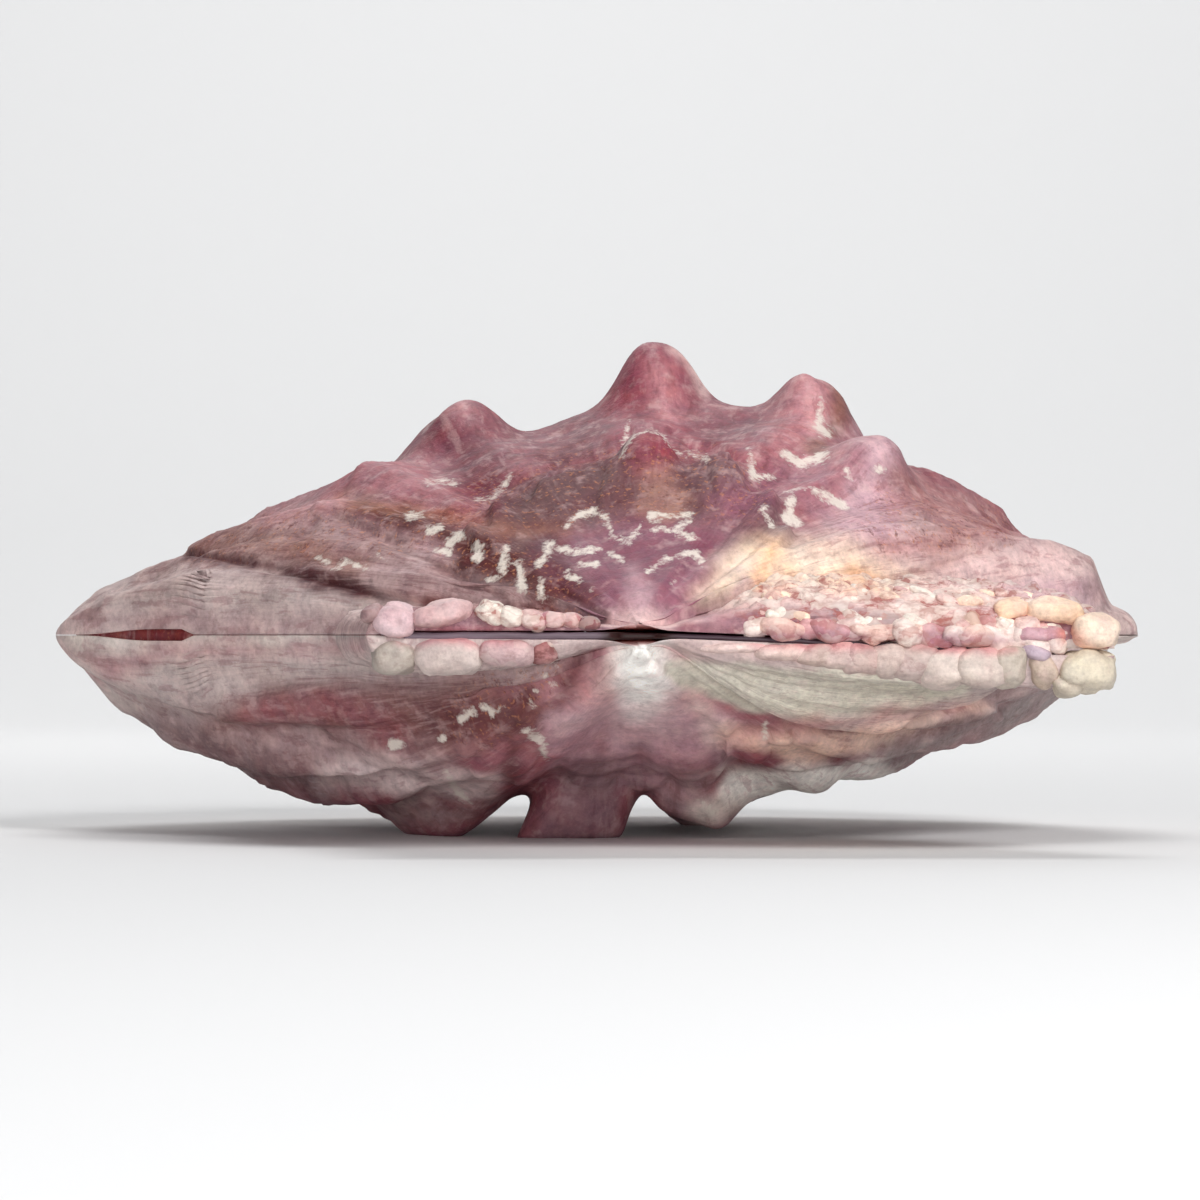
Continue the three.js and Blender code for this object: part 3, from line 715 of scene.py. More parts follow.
# White and cream marks with crisp edges
LEFT_MARKS = {
    "umbo zigzag low": [(540, 562, 5), (552, 546, 5), (566, 550, 4), (582, 552, 3), (600, 549, 3)],
    "umbo zigzag high": [(565, 525, 3), (580, 514, 4), (593, 511, 4), (605, 517, 4), (610, 528, 3)],
    "umbo dash": [(580, 564, 3), (597, 565, 3)],
    "umbo dot": [(568, 576, 4), (577, 578, 4)],
    "umbo low dot": [(592, 590, 4)],
    "umbo blue zigzag": [(612, 537, 2), (628, 543, 2), (640, 527, 2)],
    "umbo short": [(610, 552, 2), (622, 559, 3)],
    "cream bar": [(652, 516, 4), (690, 514, 3)],
    "cream bar low": [(654, 529, 3), (672, 530, 2), (690, 522, 3)],
    "cream bar end": [(676, 531, 3), (693, 538, 5)],
    "umbo front zigzag": [(647, 572, 2), (662, 560, 3), (680, 555, 3), (695, 552, 3), (703, 562, 3)],
    "umbo front dot": [(675, 582, 2)],
    "crescent": [(475, 500, 1), (490, 500, 2), (502, 490, 3), (510, 474, 2)],
    "knob D dash": [(427, 481, 2), (454, 483, 3)],
    "knob E streak": [(621, 457, 2), (629, 420, 1)],
    "knob E front dash": [(689, 452, 1), (706, 459, 3)],
    "early knob edge": [(626, 450, 1), (634, 436, 1), (648, 431, 1), (662, 435, 1), (671, 448, 1),
                        (688, 458, 1)],
    "dot one": [(408, 516, 3), (421, 515, 3)],
    "dot two": [(429, 533, 5), (441, 526, 4)],
    "dot three": [(450, 542, 5), (461, 537, 6)],
    "dot four": [(436, 551, 2), (449, 552, 3)],
    "dot five": [(477, 545, 5), (477, 556, 5)],
    "dot six": [(506, 550, 4), (502, 571, 5)],
    "dot seven": [(490, 580, 3), (500, 577, 3)],
    "dot eight": [(519, 563, 3), (522, 588, 5)],
    "dot nine": [(540, 580, 3), (542, 595, 5)],
    "second rib dash": [(317, 558, 2), (330, 562, 3)],
    "second rib hook": [(333, 570, 2), (347, 563, 3), (365, 568, 3)],
    "second rib dot": [(378, 556, 2), (386, 560, 2)],
    "front hook": [(750, 454, 3), (753, 476, 4), (772, 477, 3)],
    "front dash": [(762, 510, 2), (772, 525, 4)],
    "front thin line": [(785, 492, 1), (800, 488, 1), (817, 487, 1)],
    "big white": [(791, 500, 5), (789, 517, 8), (798, 523, 5)],
    "big white arm": [(815, 490, 5), (832, 499, 5), (843, 505, 5)],
    "knob F foot": [(783, 453, 4), (800, 463, 5), (827, 455, 4)],
    "knob F streak": [(822, 400, 3), (818, 427, 6), (828, 434, 5)],
    "knob G dot": [(880, 468, 5)],
    "knob G dash": [(846, 470, 2), (852, 478, 2)],
}
RIGHT_MARKS = {
    "fan corner": [(525, 731, 3), (540, 740, 5), (545, 756, 4)],
    "fan dash": [(530, 700, 2), (533, 707, 3)],
    "red rib hook": [(482, 707, 4), (492, 712, 6), (503, 706, 2)],
    "red rib dot": [(464, 718, 5), (472, 712, 5)],
    "red rib low dot": [(443, 738, 5)],
    "red rib bar": [(446, 772, 3), (460, 794, 4), (470, 805, 3)],
    "red rib far dot": [(392, 745, 5), (400, 742, 4)],
    "lobe spot": [(584, 825, 2)],
    "front rib dash": [(765, 724, 2), (766, 735, 4)],
    "patch dot one": [(547, 661, 3)],
    "patch dot two": [(558, 667, 3)],
    "patch dot three": [(544, 676, 3)],
    "patch dot four": [(553, 685, 4)],
    "patch dot five": [(536, 690, 2)],
    "lobe two white": [(700, 803, 3), (714, 812, 5)],
}

# Where the shell is dull and gritty, and how much
LEFT_GRIT = (
    [(480, 500, 20), (560, 490, 34), (650, 480, 34), (740, 490, 30)],
    [(200, 548, 10), (330, 525, 20), (440, 530, 22), (580, 600, 10)],
    [(890, 520, 24), (1000, 530, 14)],
)
RIGHT_GRIT = ([(480, 720, 30), (550, 680, 16)],)


# Low forms pressed into or raised from the surface where the front view shows them: height in
# millimetres, softness in pixels, and the stroke
LEFT_FORMS = {
    "first furrow": (-1.2, 7, [(186, 552, 1), (270, 566, 3), (390, 598, 3), (440, 608, 1)]),
    "flank swell": (0.9, 18, [(110, 602, 4), (200, 585, 10), (330, 604, 6)]),
    "second furrow": (-0.7, 9, [(330, 512, 3), (420, 556, 5), (500, 600, 3)]),
    "behind the ledge": (-0.9, 5, [(500, 484, 1), (560, 466, 2), (612, 452, 2), (630, 430, 1)]),
    "behind the ledge front": (-0.9, 5, [(672, 432, 1), (692, 446, 2), (760, 462, 2), (800, 480, 1)]),
    "early furrow": (-0.6, 8, [(600, 470, 3), (590, 515, 3)]),
    "early furrow front": (-0.6, 8, [(705, 470, 3), (715, 505, 3)]),
    "last furrow": (-0.7, 7, [(870, 590, 1), (940, 566, 3), (1010, 545, 1)]),
    "umbo side": (-0.5, 7, [(560, 590, 3), (600, 618, 2)]),
    "umbo side front": (-0.5, 7, [(735, 560, 3), (690, 600, 2)]),
}
RIGHT_FORMS = {
    "fan": (0.8, 5, [(640, 655, 10), (556, 738, 20), (640, 700, 40), (592, 758, 28), (640, 700, 40),
                     (645, 764, 26), (640, 700, 40), (695, 756, 28), (640, 700, 40), (716, 732, 18)]),
    "fan furrow": (-0.35, 9, [(618, 720, 1), (612, 790, 3)]),
    "fan furrow front": (-0.35, 9, [(664, 720, 1), (672, 790, 3)]),
    "front rib": (1.0, 3, [(738, 742, 10), (800, 750, 20), (890, 738, 16), (990, 712, 7)]),
    "lobe seam": (-0.7, 4, [(668, 806, 1), (700, 800, 1), (722, 785, 1)]),
    "back rib": (0.7, 5, [(225, 712, 8), (320, 704, 22), (440, 732, 46), (500, 740, 40)]),
    "back rib furrow": (-0.6, 9, [(430, 790, 2), (300, 745, 2), (200, 720, 1)]),
}


def front_forms(points, front, forms):
    """Height of the low forms at points: each one flat inside its stroke, and faded over its edge."""
    across, down = on_front_view(points)
    rough = value_noise(points, 3.0, 23) * 3
    total = 0
    for height, softness, stroke in forms.values():
        total = total + height * (1 - ease(-softness, softness, from_stroke(across, down, stroke) + rough))
    return total * front


# Distance to the nearest mark, in pixels, that counts as no mark at all
NO_MARK = 30.0


def finish_layers(points, front, base, zones, marks, grit_strokes, flake):
    """Colours and masks at points: zones and marks show only where `front` says the front is seen."""
    across, down = on_front_view(points)
    rough = value_noise(points, 4.5, 21) * 9 + value_noise(points, 1.6, 22) * 4
    tint = base
    for paint, strength, softness, stroke in zones.values():
        mask = 1 - ease(-softness, softness, from_stroke(across, down, stroke) + rough)
        tint = tint + (paint - tint) * (mask * strength * front)[..., None]
    mark = np.full(across.shape, NO_MARK)
    for stroke in marks.values():
        mark = np.minimum(mark, from_stroke(across, down, stroke))
    mark = mark + NO_MARK * (1 - front)
    grit = 0
    for stroke in grit_strokes:
        grit = np.maximum(grit, 1 - ease(-10, 20, from_stroke(across, down, stroke) + rough))
    return dict(tint=tint, mark=mark, grit=grit * front, flake=flake)


# Colour where no zone is painted, by growth
LEFT_BANDS = (
    (0.0, PALE_PINK), (0.05, MAUVE), (0.14, MAUVE), (0.2, GREY_BROWN), (0.27, DULL_MAUVE),
    (0.33, ROSE), (0.5, ROSE), (0.6, DEEP_ROSE), (0.75, ROSE), (0.88, GREY_PINK), (1.0, PALE_PINK),
)
RIGHT_BANDS = (
    (0.0, WHITE), (0.1, PINK), (0.22, ROSE), (0.4, DEEP_ROSE), (0.6, ROSE), (0.8, GREY_PINK), (1.0, WHITE),
)
EAR_COLOURS = {1: PALE_PINK, -1: GREY_WHITE}
FURROW_END = (40, 46)
PALE_FLANK = (34, 47)
EAR_COLOUR_START = (50, 56)
WALL_ANGLES = (84, 88)


def base_colour(angle, growth, masks, valve, bands):
    """Bands by growth, darkened in the furrows and on the upper hinge wall as painted shade, paler at the
    flanks, and another colour on the ears.
    """
    size = np.abs(angle)
    flat = np.stack([masks["flat_x"], masks["flat_y"], 0 * angle], -1)
    late = ease(0.3, 0.6, growth)
    place = growth + 0.02 * value_noise(flat, 9, 31) + 0.03 * value_noise(flat, 24, 32) * late
    stops = [stop for stop, _ in bands]
    tint = np.stack([np.interp(place, stops, [paint[k] for _, paint in bands]) for k in range(3)], -1)
    # Painted shade: the furrows between the ribs are darkened
    furrow = (1 - np.cos(2 * np.pi * (rib_at(angle) - valve["phase"]))) / 2 * late
    furrow = furrow * (1 - ease(*FURROW_END, size))
    pale = ease(*PALE_FLANK, size) * ease(0.1, 0.4, growth)
    ear = ease(*EAR_COLOUR_START, size)
    # Painted shade on the upper valve's hinge wall, under the lumps
    wall = ease(*WALL_ANGLES, size) * (valve["side"] > 0)
    coats = (
        (DULL_MAUVE, 0.45, furrow), (GREY_WHITE, 0.6, pale), (EAR_COLOURS[valve["side"]], 0.85, ear),
        (HINGE_SHADE, 0.85, wall),
    )
    for paint, strength, mask in coats:
        tint = tint + (paint - tint) * (strength * mask)[..., None]
    return tint


# The level rim under the ears' margins, and the points that it runs towards
RIM_DEPTH = 2.2
RIM_MIDDLES = ((-20.0, 70.0), (20.0, 70.0))


def level_rim(edge, middle):
    """Points of an edge moved level towards a middle, by the depth of the rim."""
    toward = np.array(middle) - edge[:, :2]
    toward = toward / np.linalg.norm(toward, axis=1, keepdims=True)
    return np.concatenate([edge[:, :2] + RIM_DEPTH * toward, edge[:, 2:]], 1)


def underside(hinge_line, margin, rim, inner_line, inner_beak):
    """Faces under one ear: the level rim along the margin, and one face from there to the hollow."""
    edge = [hinge_line[-1], *margin, inner_line[-1]]
    count = len(rim)
    faces = [[edge[0], edge[1], rim[0]], [edge[count], edge[count + 1], rim[-1]]]
    faces += [[edge[k + 1], edge[k + 2], rim[k + 1], rim[k]] for k in range(count - 1)]
    faces.append([0, *hinge_line, *rim, *inner_line[::-1], inner_beak])
    return [[int(i) for i in face] for face in faces]


# Relief left off at the hinge edge, and how far a normal may turn from the front for strokes to show
HINGE_SMOOTH = 0.85
HINGE_ANGLES = (83, 88)
FORMS_TURN = (0.1, 0.4)
PAINT_TURN = (0.0, 0.22)
FLAKE_ANGLES = (54, 60)


def valve_object(name, valve, zones, marks, grit, forms, bands, material):
    """One closed mesh: the outside fanned from the beak, the hollow, the rim and both ears' undersides."""
    angles, side_count = column_angles()
    growths = row_growths()
    angle, growth = np.meshgrid(angles, growths, indexing="ij")
    outer, masks = outer_surface(angle, growth, valve)
    normals = grid_normals(outer, valve["side"])
    hinge = 1 - HINGE_SMOOTH * ease(*HINGE_ANGLES, np.abs(angle))
    seen = 1 - ease(*FORMS_TURN, normals[..., 1])
    height = (relief(angle, growth, valve, masks) + front_forms(outer, seen, forms)) * hinge
    outer = outer + normals * height[..., None]
    outer[..., 2] = np.maximum(outer[..., 2], GROUND)

    inner_columns = np.arange(side_count, len(angles) - side_count)[::INNER_STEP]
    inner_columns = inner_columns[np.abs(angles[inner_columns]) <= INNER_EDGE]
    even = np.linspace(0, 1, INNER_ROWS)[1:]
    inner_growths = INNER_START + (1 - INNER_START) * (1 - (1 - even) ** 1.4)
    inner_angle, inner_growth = np.meshgrid(angles[inner_columns], inner_growths, indexing="ij")
    inner = inner_surface(inner_angle, inner_growth, valve)
    middle = np.zeros((1, 1))
    beak = outer_surface(middle, middle, valve)[0].reshape(1, 3)
    inner_beak_point = inner_surface(middle, middle + INNER_START, valve).reshape(1, 3)
    first, last = inner_columns[0], inner_columns[-1]
    back_rim = level_rim(outer[1 : first + 1, -1], RIM_MIDDLES[0])
    front_rim = level_rim(outer[last:-1, -1][::-1], RIM_MIDDLES[1])
    points = np.concatenate([beak, outer.reshape(-1, 3), inner_beak_point, inner.reshape(-1, 3), back_rim,
                             front_rim])

    columns, rows = angle.shape
    inner_count, inner_rows = inner_angle.shape
    outer_at = 1 + np.arange(columns * rows).reshape(columns, rows)
    inner_beak = 1 + columns * rows
    inner_at = inner_beak + 1 + np.arange(inner_count * inner_rows).reshape(inner_count, inner_rows)
    faces = grid_faces(outer_at).tolist() + grid_faces(inner_at)[:, ::-1].tolist()
    faces += np.stack([np.zeros(columns - 1, int), outer_at[1:, 0], outer_at[:-1, 0]], -1).tolist()
    fan = np.stack([np.full(inner_count - 1, inner_beak), inner_at[:-1, 0], inner_at[1:, 0]], -1)
    faces += fan.tolist()
    margin, rim = outer_at[:, -1], inner_at[:, -1]
    for k, a in enumerate(inner_columns[:-1]):
        faces.append([*margin[a : a + INNER_STEP + 1].tolist(), int(rim[k + 1]), int(rim[k])])
    back_at = inner_at.max() + 1 + np.arange(len(back_rim))
    front_at = back_at.max() + 1 + np.arange(len(front_rim))
    back_margin, front_margin = margin[1 : first + 1], margin[last:-1][::-1]
    faces += underside(outer_at[0], back_margin, back_at, inner_at[0], inner_beak)
    front_faces = underside(outer_at[-1], front_margin, front_at, inner_at[-1], inner_beak)
    faces += [face[::-1] for face in front_faces]
    if valve["side"] < 0:
        faces = [face[::-1] for face in faces]

    tint = base_colour(angle, growth, masks, valve, bands).reshape(-1, 3)
    flake = ease(*FLAKE_ANGLES, angle) * ease(*SCALE_START, masks["distance"]) * (valve["side"] > 0)
    flake = flake.ravel()
    painted = 1 - ease(*PAINT_TURN, normals[..., 1])
    layers = finish_layers(outer.reshape(-1, 3), painted.ravel(), tint, zones, marks, grit, flake)
    if valve["track"]:
        layers["tint"] = layers["tint"] * (1 + TRACK_CONTRAST * track_stripes(angle, masks)).reshape(-1, 1)
    held = np.clip(angle, -RIB_LAYER_LIMIT, RIB_LAYER_LIMIT)
    layers["rib"] = (rib_at(held) + RIB_LAYER_SLOPE * (angle - held)).ravel()
    layers["growth"] = growth.ravel()
    hidden_count = len(points) - len(outer.reshape(-1, 3)) - 1
    # The hidden faces take the inside's red, painted brighter as light for the hollow
    inside = dict(tint=INSIDE, mark=NO_MARK, grit=0.0, flake=0.0, rib=0.0, growth=0.5)
    for key, values in layers.items():
        hidden = np.broadcast_to(inside[key], (hidden_count, *values.shape[1:]))
        layers[key] = np.concatenate([values[:1], values, hidden])
    return make_object(name, points, faces, layers, material)


def grid_faces(grid):
    """Four-sided faces of a grid of point numbers."""
    return np.stack([grid[:-1, :-1], grid[1:, :-1], grid[1:, 1:], grid[:-1, 1:]], -1).reshape(-1, 4)


# Lumps: faces around and from pole to pole, how square they are, and the size of their pattern
LUMP_TURNS = 34
LUMP_RINGS = 18
BLOCK_POWER = 2.8
SCALE_POWER = 2.5
LUMP_DENTS = ((0.4, 1.9, 41), (0.24, 0.8, 42))
RIB_SPACING = 12
GROWTH_SPACING = 60


def squared(value, power):
    """A value from -1 to 1, pulled towards those ends."""
    return np.sign(value) * np.abs(value) ** (2 / power)


def lump(centre, half, power, tilt, seed):
    """A rounded block: a ball pulled towards a box, tilted in the front view, with soft dents."""
    turn = np.linspace(0, 2 * np.pi, LUMP_TURNS, endpoint=False)
    rise = np.linspace(-np.pi / 2, np.pi / 2, LUMP_RINGS)[1:-1]
    turn, rise = np.meshgrid(turn, rise, indexing="ij")
    level = squared(np.cos(rise), power)
    ball = np.stack([level * squared(np.cos(turn), power), level * squared(np.sin(turn), power),
                     squared(np.sin(rise), power)], -1)
    poles = np.array([[0, 0, -1.0], [0, 0, 1.0]])
    points = np.concatenate([ball.reshape(-1, 3), poles]) * half
    radial = points / np.maximum(np.linalg.norm(points, axis=-1, keepdims=True), 1e-6)
    dents = sum(depth * value_noise(points + seed * 5.0, size, draw) for depth, size, draw in LUMP_DENTS)
    points = points + radial * (dents * min(1, min(half)))[..., None]
    lean = math.radians(tilt)
    x = points[:, 0] * math.cos(lean) - points[:, 2] * math.sin(lean)
    z = points[:, 0] * math.sin(lean) + points[:, 2] * math.cos(lean)
    return np.stack([x, points[:, 1], z], -1) + centre


def lump_faces(start):
    """Faces of a lump whose points begin at the number start."""
    grid = start + np.arange(LUMP_TURNS * (LUMP_RINGS - 2)).reshape(LUMP_TURNS, LUMP_RINGS - 2)
    low = start + LUMP_TURNS * (LUMP_RINGS - 2)
    around = np.concatenate([grid, grid[:1]])
    faces = grid_faces(around).tolist()
    faces += [[low, int(b), int(a)] for a, b in zip(around[:-1, 0], around[1:, 0])]
    faces += [[low + 1, int(a), int(b)] for a, b in zip(around[:-1, -1], around[1:, -1])]
    return faces


def surface_height(x, y, valve):
    """Height of a valve's outside at a place seen from above."""
    angle = np.degrees(np.arctan2(x, y))[None, None]
    distance = np.hypot(x, y)
    growth = np.minimum(distance / reach(angle, valve), 1)
    return float(outer_surface(angle, growth, valve)[0][0, 0, 2])


def front_place(across, down, y):
    """The point at depth y that the front view shows at a pixel."""
    scale = FOCAL_PIXELS / (CAMERA_AWAY + y)
    return np.array([(across - IMAGE / 2) / scale + CAMERA_X, y, (LEVEL_LINE - down) / scale])


# Lumps at the hinge edge on the front view: across, down, half width and half height in pixels,
# half depth and place in depth in millimetres, tilt in degrees, colour, and how mottled
LEFT_LUMPS = {
    "back corner": (394, 621, 21, 17, 2.8, 1.4, -12, colour(206, 176, 180), 0.1),
    "back corner side": (372, 614, 12, 8, 2.4, 1.8, 10, GREY_PINK, 0.1),
    "back long": (441, 614, 32, 12, 3.0, 1.6, 12, colour(204, 168, 168), 0.15),
    "back mottled one": (492, 613, 15, 11, 2.4, 1.2, -30, WHITE, 1.0),
    "back mottled two": (512, 617, 13, 10, 2.2, 1.0, -20, WHITE, 0.9),
    "back mottled three": (533, 620, 13, 9, 2.0, 1.0, -15, PALE_PINK, 0.9),
    "back mottled four": (553, 620, 12, 8, 1.8, 1.0, 0, PINK, 0.9),
    "back mottled five": (571, 622, 11, 8, 1.6, 0.9, 0, PINK, 0.6),
    "back mottled six": (590, 624, 11, 7, 1.6, 0.9, 0, DULL_MAUVE, 0.4),
    "front cream one": (1012, 611, 19, 11, 2.6, 2.6, 4, colour(236, 196, 168), 0.2),
    "front cream two": (1054, 613, 28, 13, 3.0, 2.4, -8, colour(238, 208, 182), 0.1),
    "front mauve": (1040, 634, 28, 9, 2.4, 1.2, -2, colour(192, 150, 160), 0.3),
    "front end": (1093, 631, 24, 18, 3.2, 1.6, -6, colour(226, 202, 184), 0.0),
}
RIGHT_LUMPS = {
    "back corner": (393, 657, 22, 18, 2.8, 1.6, 6, colour(168, 156, 146), 0.1),
    "back tooth": (447, 656, 35, 19, 3.2, 1.4, 0, colour(204, 188, 182), 0.05),
    "back pink": (506, 652, 30, 14, 2.6, 1.2, -3, colour(192, 162, 162), 0.3),
    "back mottled": (545, 652, 14, 11, 2.0, 1.2, 10, colour(160, 108, 108), 1.0),
    "front thin one": (735, 648, 40, 6, 2.4, 1.9, 1, colour(220, 190, 184), 0.3),
    "front thin two": (785, 652, 36, 9, 2.4, 1.8, 1, colour(216, 188, 180), 0.3),
    "front one": (815, 655, 22, 12, 2.6, 1.7, 0, colour(196, 174, 164), 0.25),
    "front two": (840, 657, 22, 14, 2.6, 1.6, 4, colour(198, 174, 166), 0.3),
    "front three": (864, 659, 21, 16, 2.8, 1.5, -3, colour(188, 160, 154), 0.3),
    "front four": (889, 661, 22, 18, 2.8, 1.5, 3, colour(196, 176, 168), 0.2),
    "front five": (914, 663, 23, 19, 3.0, 1.5, -2, colour(188, 166, 160), 0.25),
    "front six": (945, 666, 28, 21, 3.0, 1.4, 3, colour(206, 190, 180), 0.1),
    "front seven": (981, 667, 29, 21, 3.2, 1.4, -3, colour(200, 184, 174), 0.1),
    "front eight": (1008, 666, 18, 20, 3.0, 1.5, 2, colour(190, 178, 164), 0.1),
    "front bluish": (1034, 652, 16, 8, 2.2, 1.4, -24, colour(176, 156, 168), 0.0),
    "front lip": (1042, 668, 15, 21, 2.4, 1.8, 24, colour(184, 164, 148), 0.0),
    "front end": (1087, 670, 29, 21, 3.2, 1.6, -3, colour(204, 192, 172), 0.1),
    "front end low": (1068, 684, 14, 11, 2.4, 1.8, 10, colour(200, 188, 168), 0.1),
}
FRONT_ROW_COLOURS = (
    colour(206, 158, 160), colour(214, 176, 172), colour(192, 138, 144), colour(232, 212, 204),
    colour(228, 192, 180),
)
SCALE_COLOURS = (colour(226, 196, 188), WHITE, WHITE, colour(204, 158, 156), CREAM)
# Rows of scales along the upper front ear: start and end along the hinge, depth, height over the
# hinge line (none where they lie on the ear), number, half width, half height and colours
SCALE_ROWS = (
    (12.5, 43, 0.8, 1.1, 17, 2.1, 1.15, FRONT_ROW_COLOURS),
    (13, 43, 1.4, 2.35, 25, 1.6, 0.85, SCALE_COLOURS),
    (14, 43, 3.4, None, 15, 1.4, 0.6, SCALE_COLOURS),
    (15, 41, 5.8, None, 13, 1.3, 0.5, SCALE_COLOURS),
)
BLUSH = colour(222, 150, 128)
LUMP_ZONES = {
    1: {"slit shade": (colour(140, 84, 104), 0.8, 7, [(660, 635, 3), (900, 637, 3), (1030, 641, 3)]),
        "back shade": (DEEP_ROSE, 0.6, 6, [(420, 630, 2), (600, 633, 2)]),
        "end blush": (BLUSH, 0.6, 10, [(1066, 632, 2), (1080, 645, 4), (1095, 652, 2)])},
    -1: {"front pink tops": (colour(206, 126, 130), 0.8, 8, [(690, 642, 2), (1015, 649, 2)]),
         "back pink tops": (colour(200, 126, 134), 0.8, 7, [(400, 639, 2), (600, 639, 2)]),
         "soles": (GREY_WHITE, 0.6, 8, [(830, 684, 4), (1010, 696, 4)])},
}


def lumps_object(name, valve, lumps, rows, material):
    """The lumps and scales of one valve's hinge edge, each a closed block sunk in the ear."""
    shapes = []
    for across, down, wide, high, deep, y, tilt, paint, mottle in lumps.values():
        scale = FOCAL_PIXELS / (CAMERA_AWAY + y)
        half = np.array([wide / scale, deep, high / scale])
        shapes.append((front_place(across, down, y), half, BLOCK_POWER, tilt, paint, mottle))
    chance = np.random.default_rng(12)
    for start, end, depth, level, count, wide, high, colours in rows:
        for k, x in enumerate(np.linspace(start, end, count) + chance.uniform(-0.4, 0.4, count)):
            y = depth + chance.uniform(-0.2, 0.2)
            if level is None:
                z = surface_height(x, y, valve) - valve["side"] * high * 0.1
            else:
                z = float(closing_height(x, y, np.array(90.0), 0)) + valve["side"] * level
            grown = 0.8 + 0.3 * k / count
            half = np.array([wide, wide * 0.8, high]) * grown * chance.uniform(0.8, 1.3, 3)
            paint = colours[chance.integers(len(colours))]
            tilt = chance.uniform(-30, 12)
            mottle = chance.uniform(0.2, 0.8)
            shapes.append((np.array([x, y, z]), half, SCALE_POWER, tilt, paint, mottle))
    points, faces, tint, flake = [], [], [], []
    for k, (centre, half, power, tilt, paint, mottle) in enumerate(shapes):
        made = lump(centre, half, power, tilt, k)
        faces += lump_faces(sum(len(p) for p in points))
        points.append(made)
        tint.append(np.broadcast_to(paint, made.shape))
        flake.append(np.full(len(made), mottle))
    points = np.concatenate(points)
    count = len(points)
    zones = LUMP_ZONES[valve["side"]]
    layers = finish_layers(points, np.ones(count), np.concatenate(tint), zones, {}, [], np.concatenate(flake))
    layers["rib"] = points[:, 0] / RIB_SPACING
    layers["growth"] = points[:, 2] / GROWTH_SPACING
    return make_object(name, points, faces, layers, material)


# A low red wall just inside where the valves gape at the back: painted shade of the hollow seen through the
# gap, in the inside's red
LIP_ALONG = (38.5, 56.0)
LIP_INWARD = (0.7, 1.4)
LIP_HALF = 1.0
# Painted shade of the hollow seen through the gap, in the inside's red
GAP_SHADE_RED = colour(118, 52, 54)


def gap_shade_object(name, material):
    """A low wall just inside the straight back margin, coloured as painted shade of the hollow behind the
    gap: places along it, times four corners.
    """
    angle = np.linspace(-60, -40, 2000)
    outline = reach(angle, RIGHT_VALVE)
    x, y = outline * np.sin(np.radians(angle)), outline * np.cos(np.radians(angle))
    along = np.linspace(*LIP_ALONG, 60)
    order = np.argsort(y)
    side = np.interp(along, y[order], x[order])
    slant = math.atan2(side[0] - side[-1], along[-1] - along[0])
    inward = np.array([math.cos(slant), math.sin(slant)])
    near, far = LIP_INWARD
    corners = [(near, -LIP_HALF), (near, LIP_HALF), (far, LIP_HALF), (far, -LIP_HALF)]
    lines = [np.stack([side + away * inward[0], along + away * inward[1], 0 * along + z], -1)
             for away, z in corners]
    points = np.stack(lines, 1)
    points = points + 0.12 * value_noise(points, 1.6, 61)[..., None] * np.array([*inward, 0])
    grid = np.arange(points.size // 3).reshape(len(along), 4)
    around = np.concatenate([grid, grid[:, :1]], 1)
    faces = grid_faces(around)[:, ::-1].tolist() + [grid[0][::-1].tolist(), grid[-1].tolist()]
    count = grid.size
    layers = dict(tint=np.broadcast_to(GAP_SHADE_RED, (count, 3)), mark=np.full(count, NO_MARK),
                  grit=np.full(count, 0.4), flake=np.zeros(count), rib=points[..., 1].ravel() / RIB_SPACING,
                  growth=np.full(count, 0.5))
    return make_object(name, points.reshape(-1, 3), faces, layers, material)


# The ligament between the hinge edges
LIGAMENT_TO = 40.0
LIGAMENT_TAILS = (2.5, 2)
LIGAMENT_BACK = 3.4
LIGAMENT_RECESS = (2.2, 2.9)
LIGAMENT_HALF = (0.40, 0.27)
LIGAMENT_LOW = (0.12, 0.13)
LIGAMENT_NEAR = -0.1
LIGAMENT_GREY = colour(124, 106, 118)
# Partly the ligament's purple on the front side, and partly painted shade: darkened to the shadow in the slit
# above it
LIGAMENT_PURPLE = colour(64, 38, 52)
# Partly the inside's red, and partly painted shade: near black where the pit between the beaks lies in shadow
PIT_SHADE = colour(52, 20, 20)


